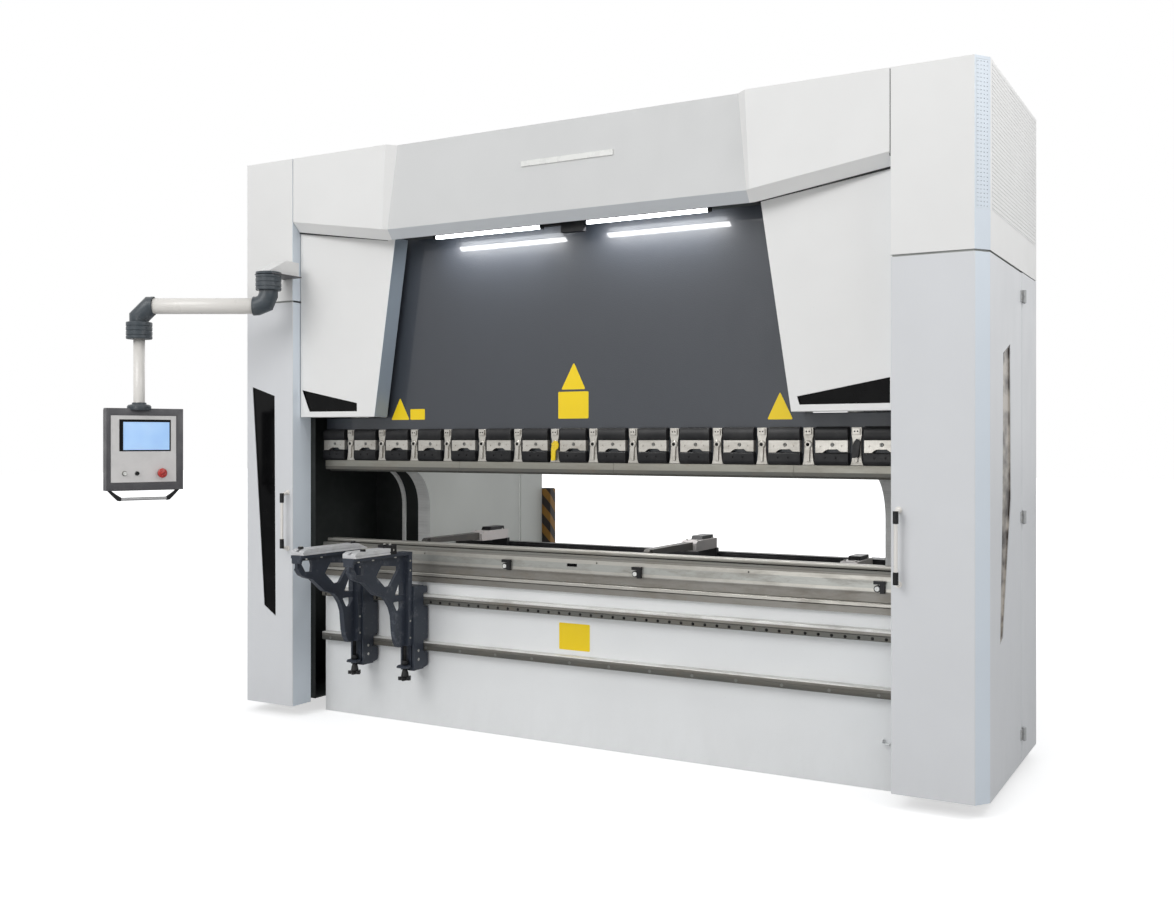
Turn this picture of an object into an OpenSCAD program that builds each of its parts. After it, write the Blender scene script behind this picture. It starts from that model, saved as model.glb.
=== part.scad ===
// Hydraulic press brake: two C-frames, bed, ram with clamped tooling, back gauge,
// front sheet supports, guarded side towers, hood and a swivelling control pendant.
// Millimetres, +Z up, the operator stands on the -Y side. Floor at Z = 0.

/* [Overall] */
// Width over the two side towers
overall_w = 3686; // [3200:1:4400]
// Height of the hood and the towers
overall_h = 2776; // [2300:1:3400]
// Front plane of the towers, from the centre of the floor anchors
front_y = -1000; // [-1200:1:-850]
// Thickness of the sheet covers
sheet_t = 3; // [2:0.5:5]

/* [Side towers] */
// Width of one tower
tower_w = 350; // [280:1:420]
// Depth of one tower, front to rear
tower_d = 1055; // [900:1:1270]
// Depth of the inner return at the tower's front corner
return_d = 132; // [100:1:160]
// Width of the bevel on the outer front corner
bevel_w = 43; // [30:1:60]
// Depth of the bevel on the outer front corner
bevel_d = 62; // [40:1:80]
// Underside of the doors above the floor
door_z = 55; // [40:1:80]
// Height of the fixed tower cap
cap_h = 704; // [560:1:860]
// Gap between a door and its cap
door_gap = 8; // [4:1:12]
// Distance of the door hinge line behind the tower front
hinge_line = 704; // [560:1:860]
// Radius of the hinge pins
pin_r = 4.5; // [3:0.5:6]
// Radial clearance of the hinge pins
pin_clear = 0.05; // [0.02:0.01:0.1]

/* [Frames and bed] */
// Inner face of each C-frame from the centre
frame_x = 1250; // [1100:1:1330]
// Thickness of a C-frame plate
frame_t = 80; // [50:1:100]
// Rear edge of the C-frames behind the tower front
frame_rear = 1700; // [1450:1:2000]
// Rear wall of the throat behind the tower front
throat_rear = 802; // [700:1:960]
// Height of the throat's upper edge
throat_top = 1231; // [1225:1:1260]
// Height of the throat's lower edge
throat_low = 660; // [560:1:685]
// Anchor hole radius
anchor_r = 13; // [8:0.5:18]
// Anchor spacing across the machine
anchor_x = 2800; // [2700:1:2860]
// Anchor spacing front to rear
anchor_y = 1000; // [850:1:1100]
// Height of the bed plate
bed_h = 693; // [690:1:700]
// Thickness of the bed and ram plates
plate_t = 90; // [70:1:100]

/* [Tooling] */
// Pitch of the punch clamps
clamp_pitch = 200; // [170:1:210]
// Width of one punch clamp
clamp_w = 138; // [110:1:160]
// Top of the lower die
die_top = 880; // [870:1:890]
// Punch tip height with the ram up
punch_z = 1221; // [1190:1:1290]
// Width of the lower die
die_w = 60; // [46:1:76]
// Half width of the vee in the lower die
vee_half = 10; // [8:0.5:14]

/* [Ram] */
// Top of the ram plate below the top of the machine
ram_drop = 356; // [300:1:420]
// Gap between the ram plate's neck and the cylinders
neck_gap = 90; // [60:1:120]
// Shoulder height of the ram plate
shoulder_z = 1490; // [1480:1:1494]
// Margin of the piston rods inside the thickness of the ram plate
rod_edge = 3; // [2:0.5:12]
// Cylinder radius
cyl_r = 115; // [95:1:118]
// Wall of the oil tank
tank_t = 8; // [5:1:12]
// Radial clearance of the piston rod
rod_clear = 0.05; // [0.02:0.01:0.1]

/* [Hood] */
// Height of the hood's middle front panel
hood_h = 401; // [330:1:480]
// Rise of the hood's lower edge towards the towers
wing_rise = 84; // [60:1:110]
// Half width of the hood's middle panel at its lower edge
hood_mid = 912; // [760:1:930]
// Lamp tube radius
lamp_r = 10; // [9:0.5:15]
// Lamp tube length
lamp_len = 608; // [500:1:730]

/* [Front supports] */
// Right face of the left support
sup_a_x = -1120; // [-1150:1:-1000]
// Right face of the right support
sup_b_x = -812; // [-850:1:-600]
// Width of a support carriage
sup_w = 78; // [60:1:94]
// Radius of the height screw
screw_r = 8; // [6:0.5:10]
// Radial clearance of the height screw
screw_clear = 0.05; // [0.02:0.01:0.1]
// Running gap between sliding faces
slide_gap = 0.3; // [0.2:0.05:0.5]

/* [Pendant] */
// Pivot of the pendant arm, outwards from the left tower's inner face
pivot_side = 0; // [-30:1:30]
// Pivot of the pendant arm, forward of the towers
pivot_y = -165; // [-220:1:-150]
// Length of the pendant arm between its two pivots
arm_len = 627; // [500:1:760]
// Rest angle of the pendant arm from the -X axis
arm_angle = 29.5; // [0:0.5:45]
// Width of the control panel
panel_w = 368; // [320:1:460]
// Height of the control panel
panel_h = 396; // [330:1:430]
// Depth of the control panel
panel_d = 50; // [40:1:70]
// Turn of the control panel at rest, from facing +X towards -Y
panel_turn = 22; // [0:0.5:60]

/* [Hidden] */
$fn = 64;
clamp_n = 15;
hinge_r = 8.5;
rod_r = plate_t / 2 - rod_edge;
hinge_out = 9;
in_x = overall_w / 2 - tower_w;
out_x = overall_w / 2;
cap_z = overall_h - cap_h;
beam_half = (clamp_pitch * (clamp_n - 1) + clamp_w) / 2 + 1;
bed_y = 216;
bed_back = bed_y + plate_t;
ram_y = 225;
ram_back = ram_y + plate_t;
bend_y = 250;
holder_top = die_top - 18;
clamp_low = punch_z + 56;
ram_top = overall_h - ram_drop;
frame_top = overall_h - 216;
jaw_y = bend_y + 20 + cyl_r + 5;
cyl_y = bend_y + 20;
cyl_x = frame_x + frame_t / 2;
ram_neck = cyl_x - cyl_r - neck_gap;
cover_low = ram_neck - 19;
cover_high = ram_neck - 149;
cyl_bottom = shoulder_z + 150;
cyl_top = overall_h - 426;
rod_top = cyl_top - 240;
tank_y = 620;
edge_z = overall_h - hood_h;
cover_z = shoulder_z + 6;
panel_z = 1136;
panel_off = 22;
button_z = 82;
stop_at = 76;
white_at = -99;
dark_at = -40;
stop_r = 12;
button_r = 8;
sup_back = 170 - slide_gap;
sup_front = 93;
screw_y = 76;
elbow_end = 72;
pivot_x = -in_x - pivot_side;
px1 = pivot_x - arm_len * cos(arm_angle);
py1 = pivot_y - arm_len * sin(arm_angle);
hinge_z = [173, 1063, cap_z - 104];
rail_x = frame_x - 120;

// Box between two opposite corners
module span(a, b) {
  translate(a)
    cube([b[0] - a[0], b[1] - a[1], b[2] - a[2]]);
}

// Same shape on the right and, mirrored, on the left
module both_sides() {
  children();
  mirror([1, 0, 0])
    children();
}

// Profile given as [Y, Z] points, run along X from x0 to x1
module run_x(x0, x1, pts) {
  translate([x0, 0, 0])
    rotate([90, 0, 90])
      linear_extrude(height = x1 - x0)
        polygon(pts);
}

// Outline given as [X, Z] points, run along Y from y0 to y1
module run_y(y0, y1, pts) {
  translate([0, y1, 0])
    rotate([90, 0, 0])
      linear_extrude(height = y1 - y0)
        polygon(pts);
}

// Round bar along X, Y or Z
module bar_x(x0, x1, y, z, r) {
  translate([x0, y, z])
    rotate([0, 90, 0])
      cylinder(h = x1 - x0, r = r);
}

module bar_y(y0, y1, x, z, r) {
  translate([x, y1, z])
    rotate([90, 0, 0])
      cylinder(h = y1 - y0, r = r);
}

module bar_z(z0, z1, x, y, r) {
  translate([x, y, z0])
    cylinder(h = z1 - z0, r = r);
}

// Flat sheet through four corners
module sheet4(a, b, c, d) {
  hull() {
    translate(a)
      cube(sheet_t);
    translate(b)
      cube(sheet_t);
    translate(c)
      cube(sheet_t);
    translate(d)
      cube(sheet_t);
  }
}

module place() {
  translate([0, front_y, 0])
    children();
}

module c_plate() {
  difference() {
    run_x(frame_x, frame_x + frame_t, [[bed_back, 30], [frame_rear, 30],
        [frame_rear, frame_top - 260], [frame_rear - 300, frame_top],
        [jaw_y, frame_top], [jaw_y, throat_top], [jaw_y, throat_low],
        [bed_back, throat_low]]);
    span([frame_x - 5, jaw_y - 10, throat_low],
      [frame_x + frame_t + 5, throat_rear - 150, throat_low + 160]);
    span([frame_x - 5, jaw_y - 10, throat_low + 150],
      [frame_x + frame_t + 5, throat_rear, throat_top - 206]);
    span([frame_x - 5, jaw_y - 10, throat_top - 216],
      [frame_x + frame_t + 5, throat_rear - 206, throat_top]);
    bar_x(frame_x - 5, frame_x + frame_t + 5, throat_rear - 206, throat_top - 206, 206);
    bar_x(frame_x - 5, frame_x + frame_t + 5, throat_rear - 150, throat_low + 150, 150);
  }
}

module side_frames() {
  color([0.78, 0.8, 0.81])
    place()
      both_sides()
        c_plate();
}

module frame_base() {
  color([0.32, 0.34, 0.36])
    place() {
      both_sides() {
        foot(500);
        foot(500 + 1000);
      }
      span([-frame_x, frame_rear - 100, 60], [frame_x, frame_rear - 20, 420]);
      span([-frame_x, frame_rear - 420, 1700], [frame_x, frame_rear - 340, 1960]);
    }
}

module foot(y) {
  ya = -front_y + (y < 1000 ? -1 : 1) * anchor_y / 2;
  difference() {
    span([frame_x - 40, ya - 130, 0], [anchor_x / 2 + 80, ya + 130, 30]);
    translate([anchor_x / 2, ya, -5])
      cylinder(h = 40, r = anchor_r);
  }
}

module bed_plate() {
  color([0.86, 0.87, 0.88])
    place()
      span([-beam_half, bed_y, 0], [beam_half, bed_back, bed_h]);
}

module bed_label() {
  color([0.93, 0.8, 0.1])
    place()
      span([-80, bed_y - 0.8, 430], [80, bed_y, 551]);
}

module die_holder() {
  z0 = bed_h;
  color([0.62, 0.62, 0.59])
    place()
      difference() {
        run_x(-beam_half + 6, beam_half - 6, [[196, z0], [196, z0 + 27], [206, z0 + 29],
            [206, z0 + 34], [186, z0 + 36], [186, z0 + 49], [190, z0 + 52],
            [200, z0 + 54], [200, z0 + 102], [190, z0 + 106], [190, holder_top - 5],
            [194, holder_top], [bend_y - 7, holder_top], [bend_y - 7, holder_top - 20],
            [bend_y + 7, holder_top - 20], [bend_y + 7, holder_top], [306, holder_top],
            [310, holder_top - 4], [310, z0 + 12], [bed_back, z0]]);
        span([-24, 180, holder_top - 60], [24, 200, holder_top - 46]);
      }
}

module bottom_die() {
  t = 7 - slide_gap;
  color([0.66, 0.66, 0.64])
    place()
      run_x(-beam_half + 10, beam_half - 10, [[bend_y - t, holder_top - 19],
          [bend_y + t, holder_top - 19], [bend_y + t, holder_top],
          [bend_y + die_w / 2 - 3, holder_top], [bend_y + die_w / 2, holder_top + 3],
          [bend_y + die_w / 2, die_top - 1], [bend_y + die_w / 2 - 1, die_top],
          [bend_y + vee_half, die_top], [bend_y, die_top - vee_half * 1.04],
          [bend_y - vee_half, die_top], [bend_y - die_w / 2 + 1, die_top],
          [bend_y - die_w / 2, die_top - 1], [bend_y - die_w / 2, holder_top + 3],
          [bend_y - die_w / 2 + 3, holder_top], [bend_y - t, holder_top]]);
}

module die_clamps() {
  zc = holder_top - 50;
  color([0.08, 0.08, 0.09])
    place()
      for (x = [-1400, -339, 339, 1400])
        translate([x, 0, 0]) {
          difference() {
            span([-23, 176, zc - 44], [23, 190, zc + 6]);
            bar_y(170, 184, -6, zc - 28, 11);
          }
          bar_y(174, 184, -6, zc - 28, 9.5);
          span([-16, 168, zc - 6], [23, 176, zc + 6]);
        }
}

module front_rails() {
  color([0.5, 0.5, 0.49])
    place() {
      difference() {
        run_x(-beam_half + 15, beam_half - 15, [[bed_y, 590], [172, 590], [170, 592],
            [170, 606], [178, 608], [178, 626], [170, 628], [170, 642], [172, 644],
            [bed_y, 644]]);
        for (i = [-26 : 26])
          bar_y(160, 190, i * 55, 617, 5.5);
      }
      run_x(-beam_half + 15, beam_half - 15, [[bed_y, 368], [178, 368], [173, 373],
          [173, 403], [178, 408], [bed_y, 408]]);
    }
}

module hood() {
  top = overall_h - sheet_t;
  ez = edge_z;
  wz = edge_z + wing_rise;
  m = hood_mid;
  w = min(m - 10, cover_high - 28);
  low = 45;
  color([0.88, 0.88, 0.87])
    place() {
      sheet4([-m + 44, 38, top], [m - 47, 38, top], [-m, 17, ez], [m - sheet_t, 17, ez]);
      sheet4([-m, 17, ez], [m - sheet_t, 17, ez], [-m, 52, ez - low],
        [m - sheet_t, 52, ez - low]);
      both_sides() {
        sheet4([m - 47, 38, top], [m - 3, 0, top], [m - sheet_t, 17, ez], [m + 16, 0, ez]);
        sheet4([m - 3, 0, top], [in_x - sheet_t, 0, top], [m + 16, 0, ez],
          [in_x - sheet_t, 0, wz]);
        sheet4([m - sheet_t, 17, ez], [m + 16, 0, ez], [m - sheet_t, 52, ez - low],
          [m + 22, 48, ez - low]);
        sheet4([m + 16, 0, ez], [in_x - sheet_t, 0, wz], [m + 22, 48, ez - low],
          [in_x - sheet_t, 48, wz - low]);
      }
      translate([0, 0, top])
        linear_extrude(height = sheet_t)
          polygon([[-in_x, 0], [-m + 3, 0], [-m + 47, 38], [m - 47, 38], [m - 3, 0],
              [in_x, 0], [in_x, 400], [-in_x, 400]]);
      span([-w, 38, ez - 25], [w, 205, ez - 22]);
      span([-w - 20, 205, ez - 25], [w + 20, 208, ez + 40]);
      both_sides()
        span([105, 104, ez - 27], [105 + lamp_len, 136, ez - 25]);
    }
}

module led_tubes() {
  lz = edge_z - 40;
  color([0.97, 0.98, 1])
    place()
      both_sides() {
        bar_x(105, 105 + lamp_len, 120, lz, lamp_r);
        span([105, 112, lz], [125, 128, edge_z - 27]);
        span([85 + lamp_len, 112, lz], [105 + lamp_len, 128, edge_z - 27]);
      }
  color([0.1, 0.12, 0.14])
    place()
      span([-8, 104, lz - 38], [108, 136, edge_z - 27]);
}

module cover_half() {
  iz = edge_z - 50;
  oz = edge_z + wing_rise - 18;
  difference() {
    union() {
      sheet4([cover_low, 111, cover_z], [in_x - 3 - sheet_t, 58, cover_z], [cover_high, 111, iz],
        [in_x - 3 - sheet_t, 58, oz]);
      sheet4([cover_low, 111, cover_z], [cover_low, 205, cover_z], [cover_high, 111, iz],
        [cover_high, 205, iz]);
      sheet4([cover_low, 111, cover_z], [cover_low, 205, cover_z], [in_x - 3 - sheet_t, 58, cover_z],
        [in_x - 3 - sheet_t, 205, cover_z]);
      span([in_x - 3 - sheet_t, 58, cap_z + 10], [in_x, 205, oz]);
    }
    children();
  }
}

module cylinder_covers() {
  color([0.88, 0.88, 0.87])
    place() {
      cover_half()
        run_y(40, 130, [[cover_low + 24, cover_z + 57], [cover_low + 34, cover_z + 24],
            [in_x - 12, cover_z + 24], [in_x - 12, cover_z + 122]]);
      mirror([1, 0, 0])
        cover_half()
          run_y(40, 130, [[cover_low + 97, cover_z + 64], [cover_low + 97, cover_z + 24],
              [in_x - 58, cover_z + 24], [in_x - 14, cover_z + 134]]);
    }
}

module inset_half(x0) {
  y0 = 111 - (x0 - cover_low) * 53 / (in_x - 6 - cover_low) + sheet_t + 0.4;
  y1 = 58 + sheet_t + 0.4;
  hull() {
    span([x0, y0, cover_z + 10], [x0 + 2, y0 + 3, cover_z + 90]);
    span([in_x - 9, y1 + 0.6, cover_z + 10], [in_x - 7, y1 + 3.6, cover_z + 150]);
  }
}

module cover_insets() {
  color([0.03, 0.03, 0.035])
    place() {
      inset_half(cover_low + 14);
      mirror([1, 0, 0])
        inset_half(cover_low + 74);
    }
}

module tower_caps() {
  t = sheet_t;
  color([0.88, 0.88, 0.87])
    place()
      both_sides()
        difference() {
          translate([0, 0, cap_z])
            linear_extrude(height = cap_h)
              polygon([[in_x, 0], [out_x - bevel_w, 0], [out_x, bevel_d],
                  [out_x, tower_d], [in_x, tower_d]]);
          translate([0, 0, cap_z - 5])
            linear_extrude(height = cap_h + 5 - t)
              polygon([[in_x + t, t], [out_x - bevel_w - t / 2, t],
                  [out_x - t, bevel_d + t / 3], [out_x - t, tower_d - t],
                  [in_x + t, tower_d - t]]);
        }
}

module tower_backs() {
  t = sheet_t;
  color([0.84, 0.85, 0.86])
    place()
      both_sides() {
        span([out_x - t, hinge_line + 4, door_z], [out_x, tower_d, cap_z]);
        span([frame_x + frame_t, tower_d - t, door_z], [out_x, tower_d, cap_z]);
      }
}

module door_hinges() {
  color([0.05, 0.05, 0.05])
    place()
      both_sides()
        for (z = hinge_z) {
          bar_z(z - 40, z, out_x + hinge_out, hinge_line, hinge_r);
          bar_z(z - 1, z + 40, out_x + hinge_out, hinge_line, pin_r);
          span([out_x, hinge_line + 9, z - 40], [out_x + 4, hinge_line + 40, z + 40]);
          span([out_x, hinge_line + 4, z - 40], [out_x + hinge_out, hinge_line + 10, z]);
        }
}

module cylinder_one() {
  difference() {
    union() {
      bar_z(cyl_bottom, cyl_top, cyl_x, cyl_y, cyl_r);
      bar_z(cyl_bottom, cyl_bottom + 60, cyl_x, cyl_y, cyl_r + 4);
      bar_z(cyl_top, cyl_top + 40, cyl_x, cyl_y, cyl_r - 20);
      span([cyl_x - 70, cyl_y + 60, cyl_bottom + 100],
        [cyl_x + 70, jaw_y, cyl_top - 60]);
    }
    bar_z(cyl_bottom - 5, rod_top + 20, cyl_x, cyl_y, rod_r + rod_clear);
  }
}

module cylinders() {
  color([0.2, 0.22, 0.25])
    place()
      both_sides()
        cylinder_one();
}

module piston_rods() {
  color([0.8, 0.81, 0.83])
    place()
      both_sides()
        bar_z(shoulder_z, rod_top, cyl_x, cyl_y, rod_r);
}

module ram_guides() {
  color([0.45, 0.46, 0.47])
    place()
      both_sides() {
        span([frame_x + 10, ram_back + slide_gap, 1290],
          [frame_x + frame_t - 10, jaw_y, shoulder_z - 30]);
        span([frame_x + 4, ram_back + 24, 1270],
          [frame_x + frame_t - 4, jaw_y, 1290]);
      }
}

module power_pack() {
  z = frame_top - 80;
  color([0.3, 0.36, 0.42])
    place() {
      difference() {
        span([-frame_x, tank_y, z - 440], [frame_x, tank_y + 500, z]);
        span([tank_t - frame_x, tank_y + tank_t, z - 440 + tank_t],
          [frame_x - tank_t, tank_y + 500 - tank_t, z - tank_t]);
      }
      bar_x(150, 560, 860, z + 136, 122);
      bar_x(560, 600, 860, z + 136, 60);
      span([200, 770, z], [520, 950, z + 40]);
      bar_x(20, 150, 860, z + 136, 70);
      span([40, 800, z], [140, 920, z + 90]);
      bar_z(z, z + 60, -500, 870, 60);
    }
}

module hydraulic_pipes() {
  pz = cyl_top + 40;
  color([0.55, 0.57, 0.58])
    place()
      both_sides() {
        span([cyl_x - 80, cyl_y - 65, pz], [cyl_x + 60, cyl_y + 65, pz + 110]);
        bar_y(cyl_y + 60, tank_y, cyl_x - 60, pz + 40, 14);
        bar_z(pz + 110, pz + 190, cyl_x + 20, cyl_y, 24);
      }
}

module electric_cabinet() {
  x0 = frame_x + frame_t;
  color([0.84, 0.85, 0.86])
    place()
      difference() {
        span([x0, tower_d, 300], [out_x - 150, tower_d + 560, cap_z - 80]);
        span([x0 + 8, tower_d + 8, 308], [out_x - 158, tower_d + 540, cap_z - 88]);
        span([x0 + 30, tower_d + 552, 340], [out_x - 180, tower_d + 562, cap_z - 120]);
      }
}

module rear_guards() {
  color([0.76, 0.77, 0.78])
    place()
      both_sides() {
        span([frame_x, frame_rear, 60], [frame_x + 12, frame_rear + 250, 1900]);
        span([frame_x, frame_rear + 238, 60], [frame_x + 60, frame_rear + 250, 1900]);
      }
}

module guard_posts() {
  color([0.35, 0.27, 0.08])
    place()
      both_sides() {
        span([frame_x - 70, frame_rear + 250, 0], [frame_x, frame_rear + 310, 1078]);
        span([frame_x - 57, frame_rear + 250, 1078], [frame_x - 35, frame_rear + 290, 1240]);
      }
}

module gauge_rails() {
  color([0.4, 0.42, 0.44])
    place()
      both_sides() {
        span([rail_x - 50, bed_back, 540], [rail_x + 50, frame_rear - 110, 620]);
        span([rail_x - 15, bed_back + 20, 620], [rail_x + 15, frame_rear - 120, 640]);
        span([rail_x - 70, bed_back, 480], [rail_x + 70, bed_back + 14, 640]);
      }
}

module gauge_carriages() {
  color([0.28, 0.3, 0.33])
    place() {
      both_sides() {
        difference() {
          span([rail_x - 60, 1080, 624], [rail_x + 60, 1240, 700]);
          span([rail_x - 15 - slide_gap, 1070, 600],
            [rail_x + 15 + slide_gap, 1250, 640 + slide_gap]);
        }
        span([rail_x - 35, 1080, 700], [rail_x + 35, 1140, 826]);
      }
      span([50 - rail_x, 1128, 650], [rail_x - 50, 1172, 690]);
    }
}

module gauge_beam() {
  color([0.62, 0.63, 0.64])
    place() {
      span([15 - frame_x, 1030, 722], [frame_x - 15, 1080 - slide_gap, 826]);
      span([25 - frame_x, 1022, 732], [frame_x - 25, 1030, 752]);
      span([25 - frame_x, 1022, 796], [frame_x - 25, 1030, 816]);
    }
}

// A finger on the beam; drop sets its head lower on the same saddle
module finger(x, drop = 0) {
  color([0.8, 0.79, 0.78])
    place()
      translate([x, 0, 0]) {
        span([-48, 996, 724], [48, 1022 - slide_gap, 848 - drop]);
        translate([0, 0, -drop]) {
          span([-40, 770, 846], [40, 1018, 896]);
          span([-28, 860, 896], [28, 1000, 914]);
          run_x(-22, 22, [[340, 868], [340, 890], [772, 890], [772, 852]]);
          run_x(-14, 14, [[320, 868], [345, 868], [345, 888], [328, 888], [320, 880]]);
        }
      }
}

module gauge_finger_left() {
  finger(326 - frame_x);
}

module gauge_finger_mid() {
  finger(310);
}

module gauge_finger_right() {
  x = frame_x - 160;
  finger(x, 62);
  color([0.8, 0.79, 0.78])
    place()
      span([x - 146, 996, 724], [x - 38, 1022 - slide_gap, 841]);
}

module ram_plate() {
  color([0.25, 0.27, 0.3])
    place()
      run_y(ram_y, ram_back, [[-beam_half, clamp_low], [beam_half, clamp_low],
          [beam_half, shoulder_z], [ram_neck, shoulder_z], [ram_neck, ram_top],
          [-ram_neck, ram_top], [-ram_neck, shoulder_z], [-beam_half, shoulder_z]]);
}

module clamp_blocks() {
  h = clamp_w / 2;
  color([0.05, 0.05, 0.055])
    place()
      for (i = [0 : clamp_n - 1])
        translate([(i - 7) * clamp_pitch, 0, 0]) {
          run_x(-h, h, [[ram_y, clamp_low + 102], [198, clamp_low + 102],
              [195, clamp_low + 106], [195, clamp_low + 148], [203, clamp_low + 156],
              [ram_y, clamp_low + 156]]);
          run_x(-h, h, [[ram_y, clamp_low], [203, clamp_low], [195, clamp_low + 10],
              [195, clamp_low + 46], [198, clamp_low + 50], [ram_y, clamp_low + 50]]);
        }
}

module clamp_plates() {
  h = clamp_w / 2 - 2;
  color([0.7, 0.69, 0.66])
    place()
      for (i = [0 : clamp_n - 1])
        translate([(i - 7) * clamp_pitch, 0, 0])
          difference() {
            union() {
              span([-h, 204, clamp_low + 50], [h, ram_y, clamp_low + 102]);
              run_y(199, 205, [[-h, clamp_low + 101], [-h, clamp_low + 52],
                  [-h + 34, clamp_low + 52], [-h + 50, clamp_low + 66],
                  [h - 50, clamp_low + 66], [h - 34, clamp_low + 56],
                  [h, clamp_low + 56], [h, clamp_low + 101]]);
            }
            bar_y(190, 216, 0, clamp_low + 82, 7);
          }
}

module post_one() {
  difference() {
    union() {
      run_y(209, ram_y, [[-27, clamp_low], [27, clamp_low], [20, clamp_low + 20],
          [20, clamp_low + 152], [-20, clamp_low + 152], [-20, clamp_low + 20]]);
      bar_y(200, 210, 0, clamp_low + 84, 15);
      run_y(203, 210, [[-7, clamp_low + 12], [7, clamp_low + 12], [9, clamp_low + 74],
          [-9, clamp_low + 74]]);
      span([-15, 204, clamp_low + 126], [15, 210, clamp_low + 150]);
    }
    bar_y(195, 216, 0, clamp_low + 84, 7);
  }
}

module clamp_posts() {
  color([0.75, 0.75, 0.74])
    place()
      for (i = [0 : clamp_n - 2])
        translate([(i - 6.5) * clamp_pitch, 0, 0])
          post_one();
}

module clamp_lever() {
  x = -0.5 * clamp_pitch;
  color([0.93, 0.82, 0.1])
    place()
      translate([x, 0, 0]) {
        run_y(192, 200 - slide_gap, [[4, clamp_low + 96], [26, clamp_low + 96],
            [30, clamp_low + 70], [14, clamp_low + 52], [12, clamp_low + 8],
            [-9, clamp_low + 8], [-9, clamp_low + 60]]);
        bar_y(198, 210, 0, clamp_low + 84, 6.95);
        bar_y(192, 198, 4, clamp_low + 84, 10);
      }
}

module punch() {
  b = clamp_low;
  color([0.66, 0.64, 0.6])
    place()
      run_x(-beam_half + 4, beam_half - 4, [[bend_y - 40, b], [bend_y - 40, punch_z + 14],
          [bend_y - 36, punch_z + 10], [bend_y - 9, punch_z + 9.4], [bend_y, punch_z],
          [bend_y + 9, punch_z + 9.4], [bend_y + 30, punch_z + 34], [bend_y + 30, b]]);
}

module ram_labels() {
  y0 = ram_y - 0.8;
  y1 = ram_y;
  color([0.93, 0.8, 0.1])
    place() {
      span([-90, y0, 1476], [68, y1, 1598]);
      run_y(y0, y1, [[-74, 1608], [52, 1608], [-8, 1730]]);
      run_y(y0, y1, [[-1052, 1478], [-940, 1478], [-997, 1586]]);
      span([-934, y0, 1478], [-846, y1, 1530]);
      run_y(y0, y1, [[918, 1464], [1030, 1464], [974, 1578]]);
    }
}

module door_knuckle(z) {
  difference() {
    union() {
      bar_z(z + slide_gap, z + 40, out_x + hinge_out, hinge_line, hinge_r);
      span([out_x - 1, hinge_line - 10, z + slide_gap],
        [out_x + hinge_out, hinge_line - 4, z + 40]);
      span([out_x - 1, hinge_line - 40, z - 40], [out_x + 4, hinge_line - 9, z + 40]);
    }
    bar_z(z - 5, z + 45, out_x + hinge_out, hinge_line, pin_r + pin_clear);
  }
}

module door_sheet() {
  t = sheet_t;
  for (z = hinge_z)
    door_knuckle(z);
  translate([0, 0, door_z])
    linear_extrude(height = cap_z - door_gap - door_z)
      polygon([[in_x, return_d], [in_x, 0], [out_x - bevel_w, 0], [out_x, bevel_d],
          [out_x, hinge_line - 4], [out_x - t, hinge_line - 4],
          [out_x - t, bevel_d + t / 3], [out_x - bevel_w - t / 2, t], [in_x + t, t],
          [in_x + t, return_d]]);
}

module door_left() {
  x = out_x;
  color([0.86, 0.87, 0.88])
    place()
      difference() {
        mirror([1, 0, 0])
          door_sheet();
        run_y(-10, 20, [[-x + 79, 1648], [-x + 230, 1600], [-x + 237, 497],
            [-x + 160, 547]]);
      }
}

module door_left_window() {
  x = out_x;
  color([0.02, 0.02, 0.02])
    place()
      run_y(sheet_t, sheet_t + 4, [[-x + 64, 1672], [-x + 246, 1616], [-x + 253, 466],
          [-x + 148, 532]]);
}

module door_right() {
  x = out_x;
  color([0.86, 0.87, 0.88])
    place()
      difference() {
        door_sheet();
        run_x(x - 15, x + 10, [[302, 1712], [446, 1756], [464, 1150], [300, 622],
            [243, 605], [290, 1150]]);
      }
}

module door_right_window() {
  x = out_x - sheet_t;
  color([0.02, 0.02, 0.02])
    place()
      run_x(x - 4, x, [[288, 1726], [462, 1778], [480, 1146], [310, 596], [224, 584],
          [276, 1152]]);
}

module handle_shape() {
  x = in_x + 31;
  for (z = [842, 1100])
    span([x - 9, -50, z], [x + 9, 0, z + 16]);
  bar_z(846, 1112, x, -42, 7.5);
}

module door_left_handle() {
  color([0.1, 0.1, 0.1])
    place()
      mirror([1, 0, 0])
        handle_shape();
}

module door_right_handle() {
  color([0.1, 0.1, 0.1])
    place()
      handle_shape();
}

module carriage(x) {
  c = x - sup_w / 2;
  w = sup_w / 2;
  color([0.2, 0.24, 0.29])
    place()
      difference() {
        union() {
          span([x - sup_w, sup_front, 281], [x, sup_back, 683]);
          span([x - sup_w, sup_back - 2, 644 + slide_gap], [x, 200, 676]);
          span([c - 30, screw_y - 26, 296], [c + 30, sup_front + 4, 308]);
        }
        bar_z(280, 320, c, screw_y, screw_r + screw_clear);
        span([c - 13, sup_front - 5, 402], [c + 13, sup_front + 13, 690]);
      }
}

module support_a_carriage() {
  carriage(sup_a_x);
}

module support_b_carriage() {
  carriage(sup_b_x);
}

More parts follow.
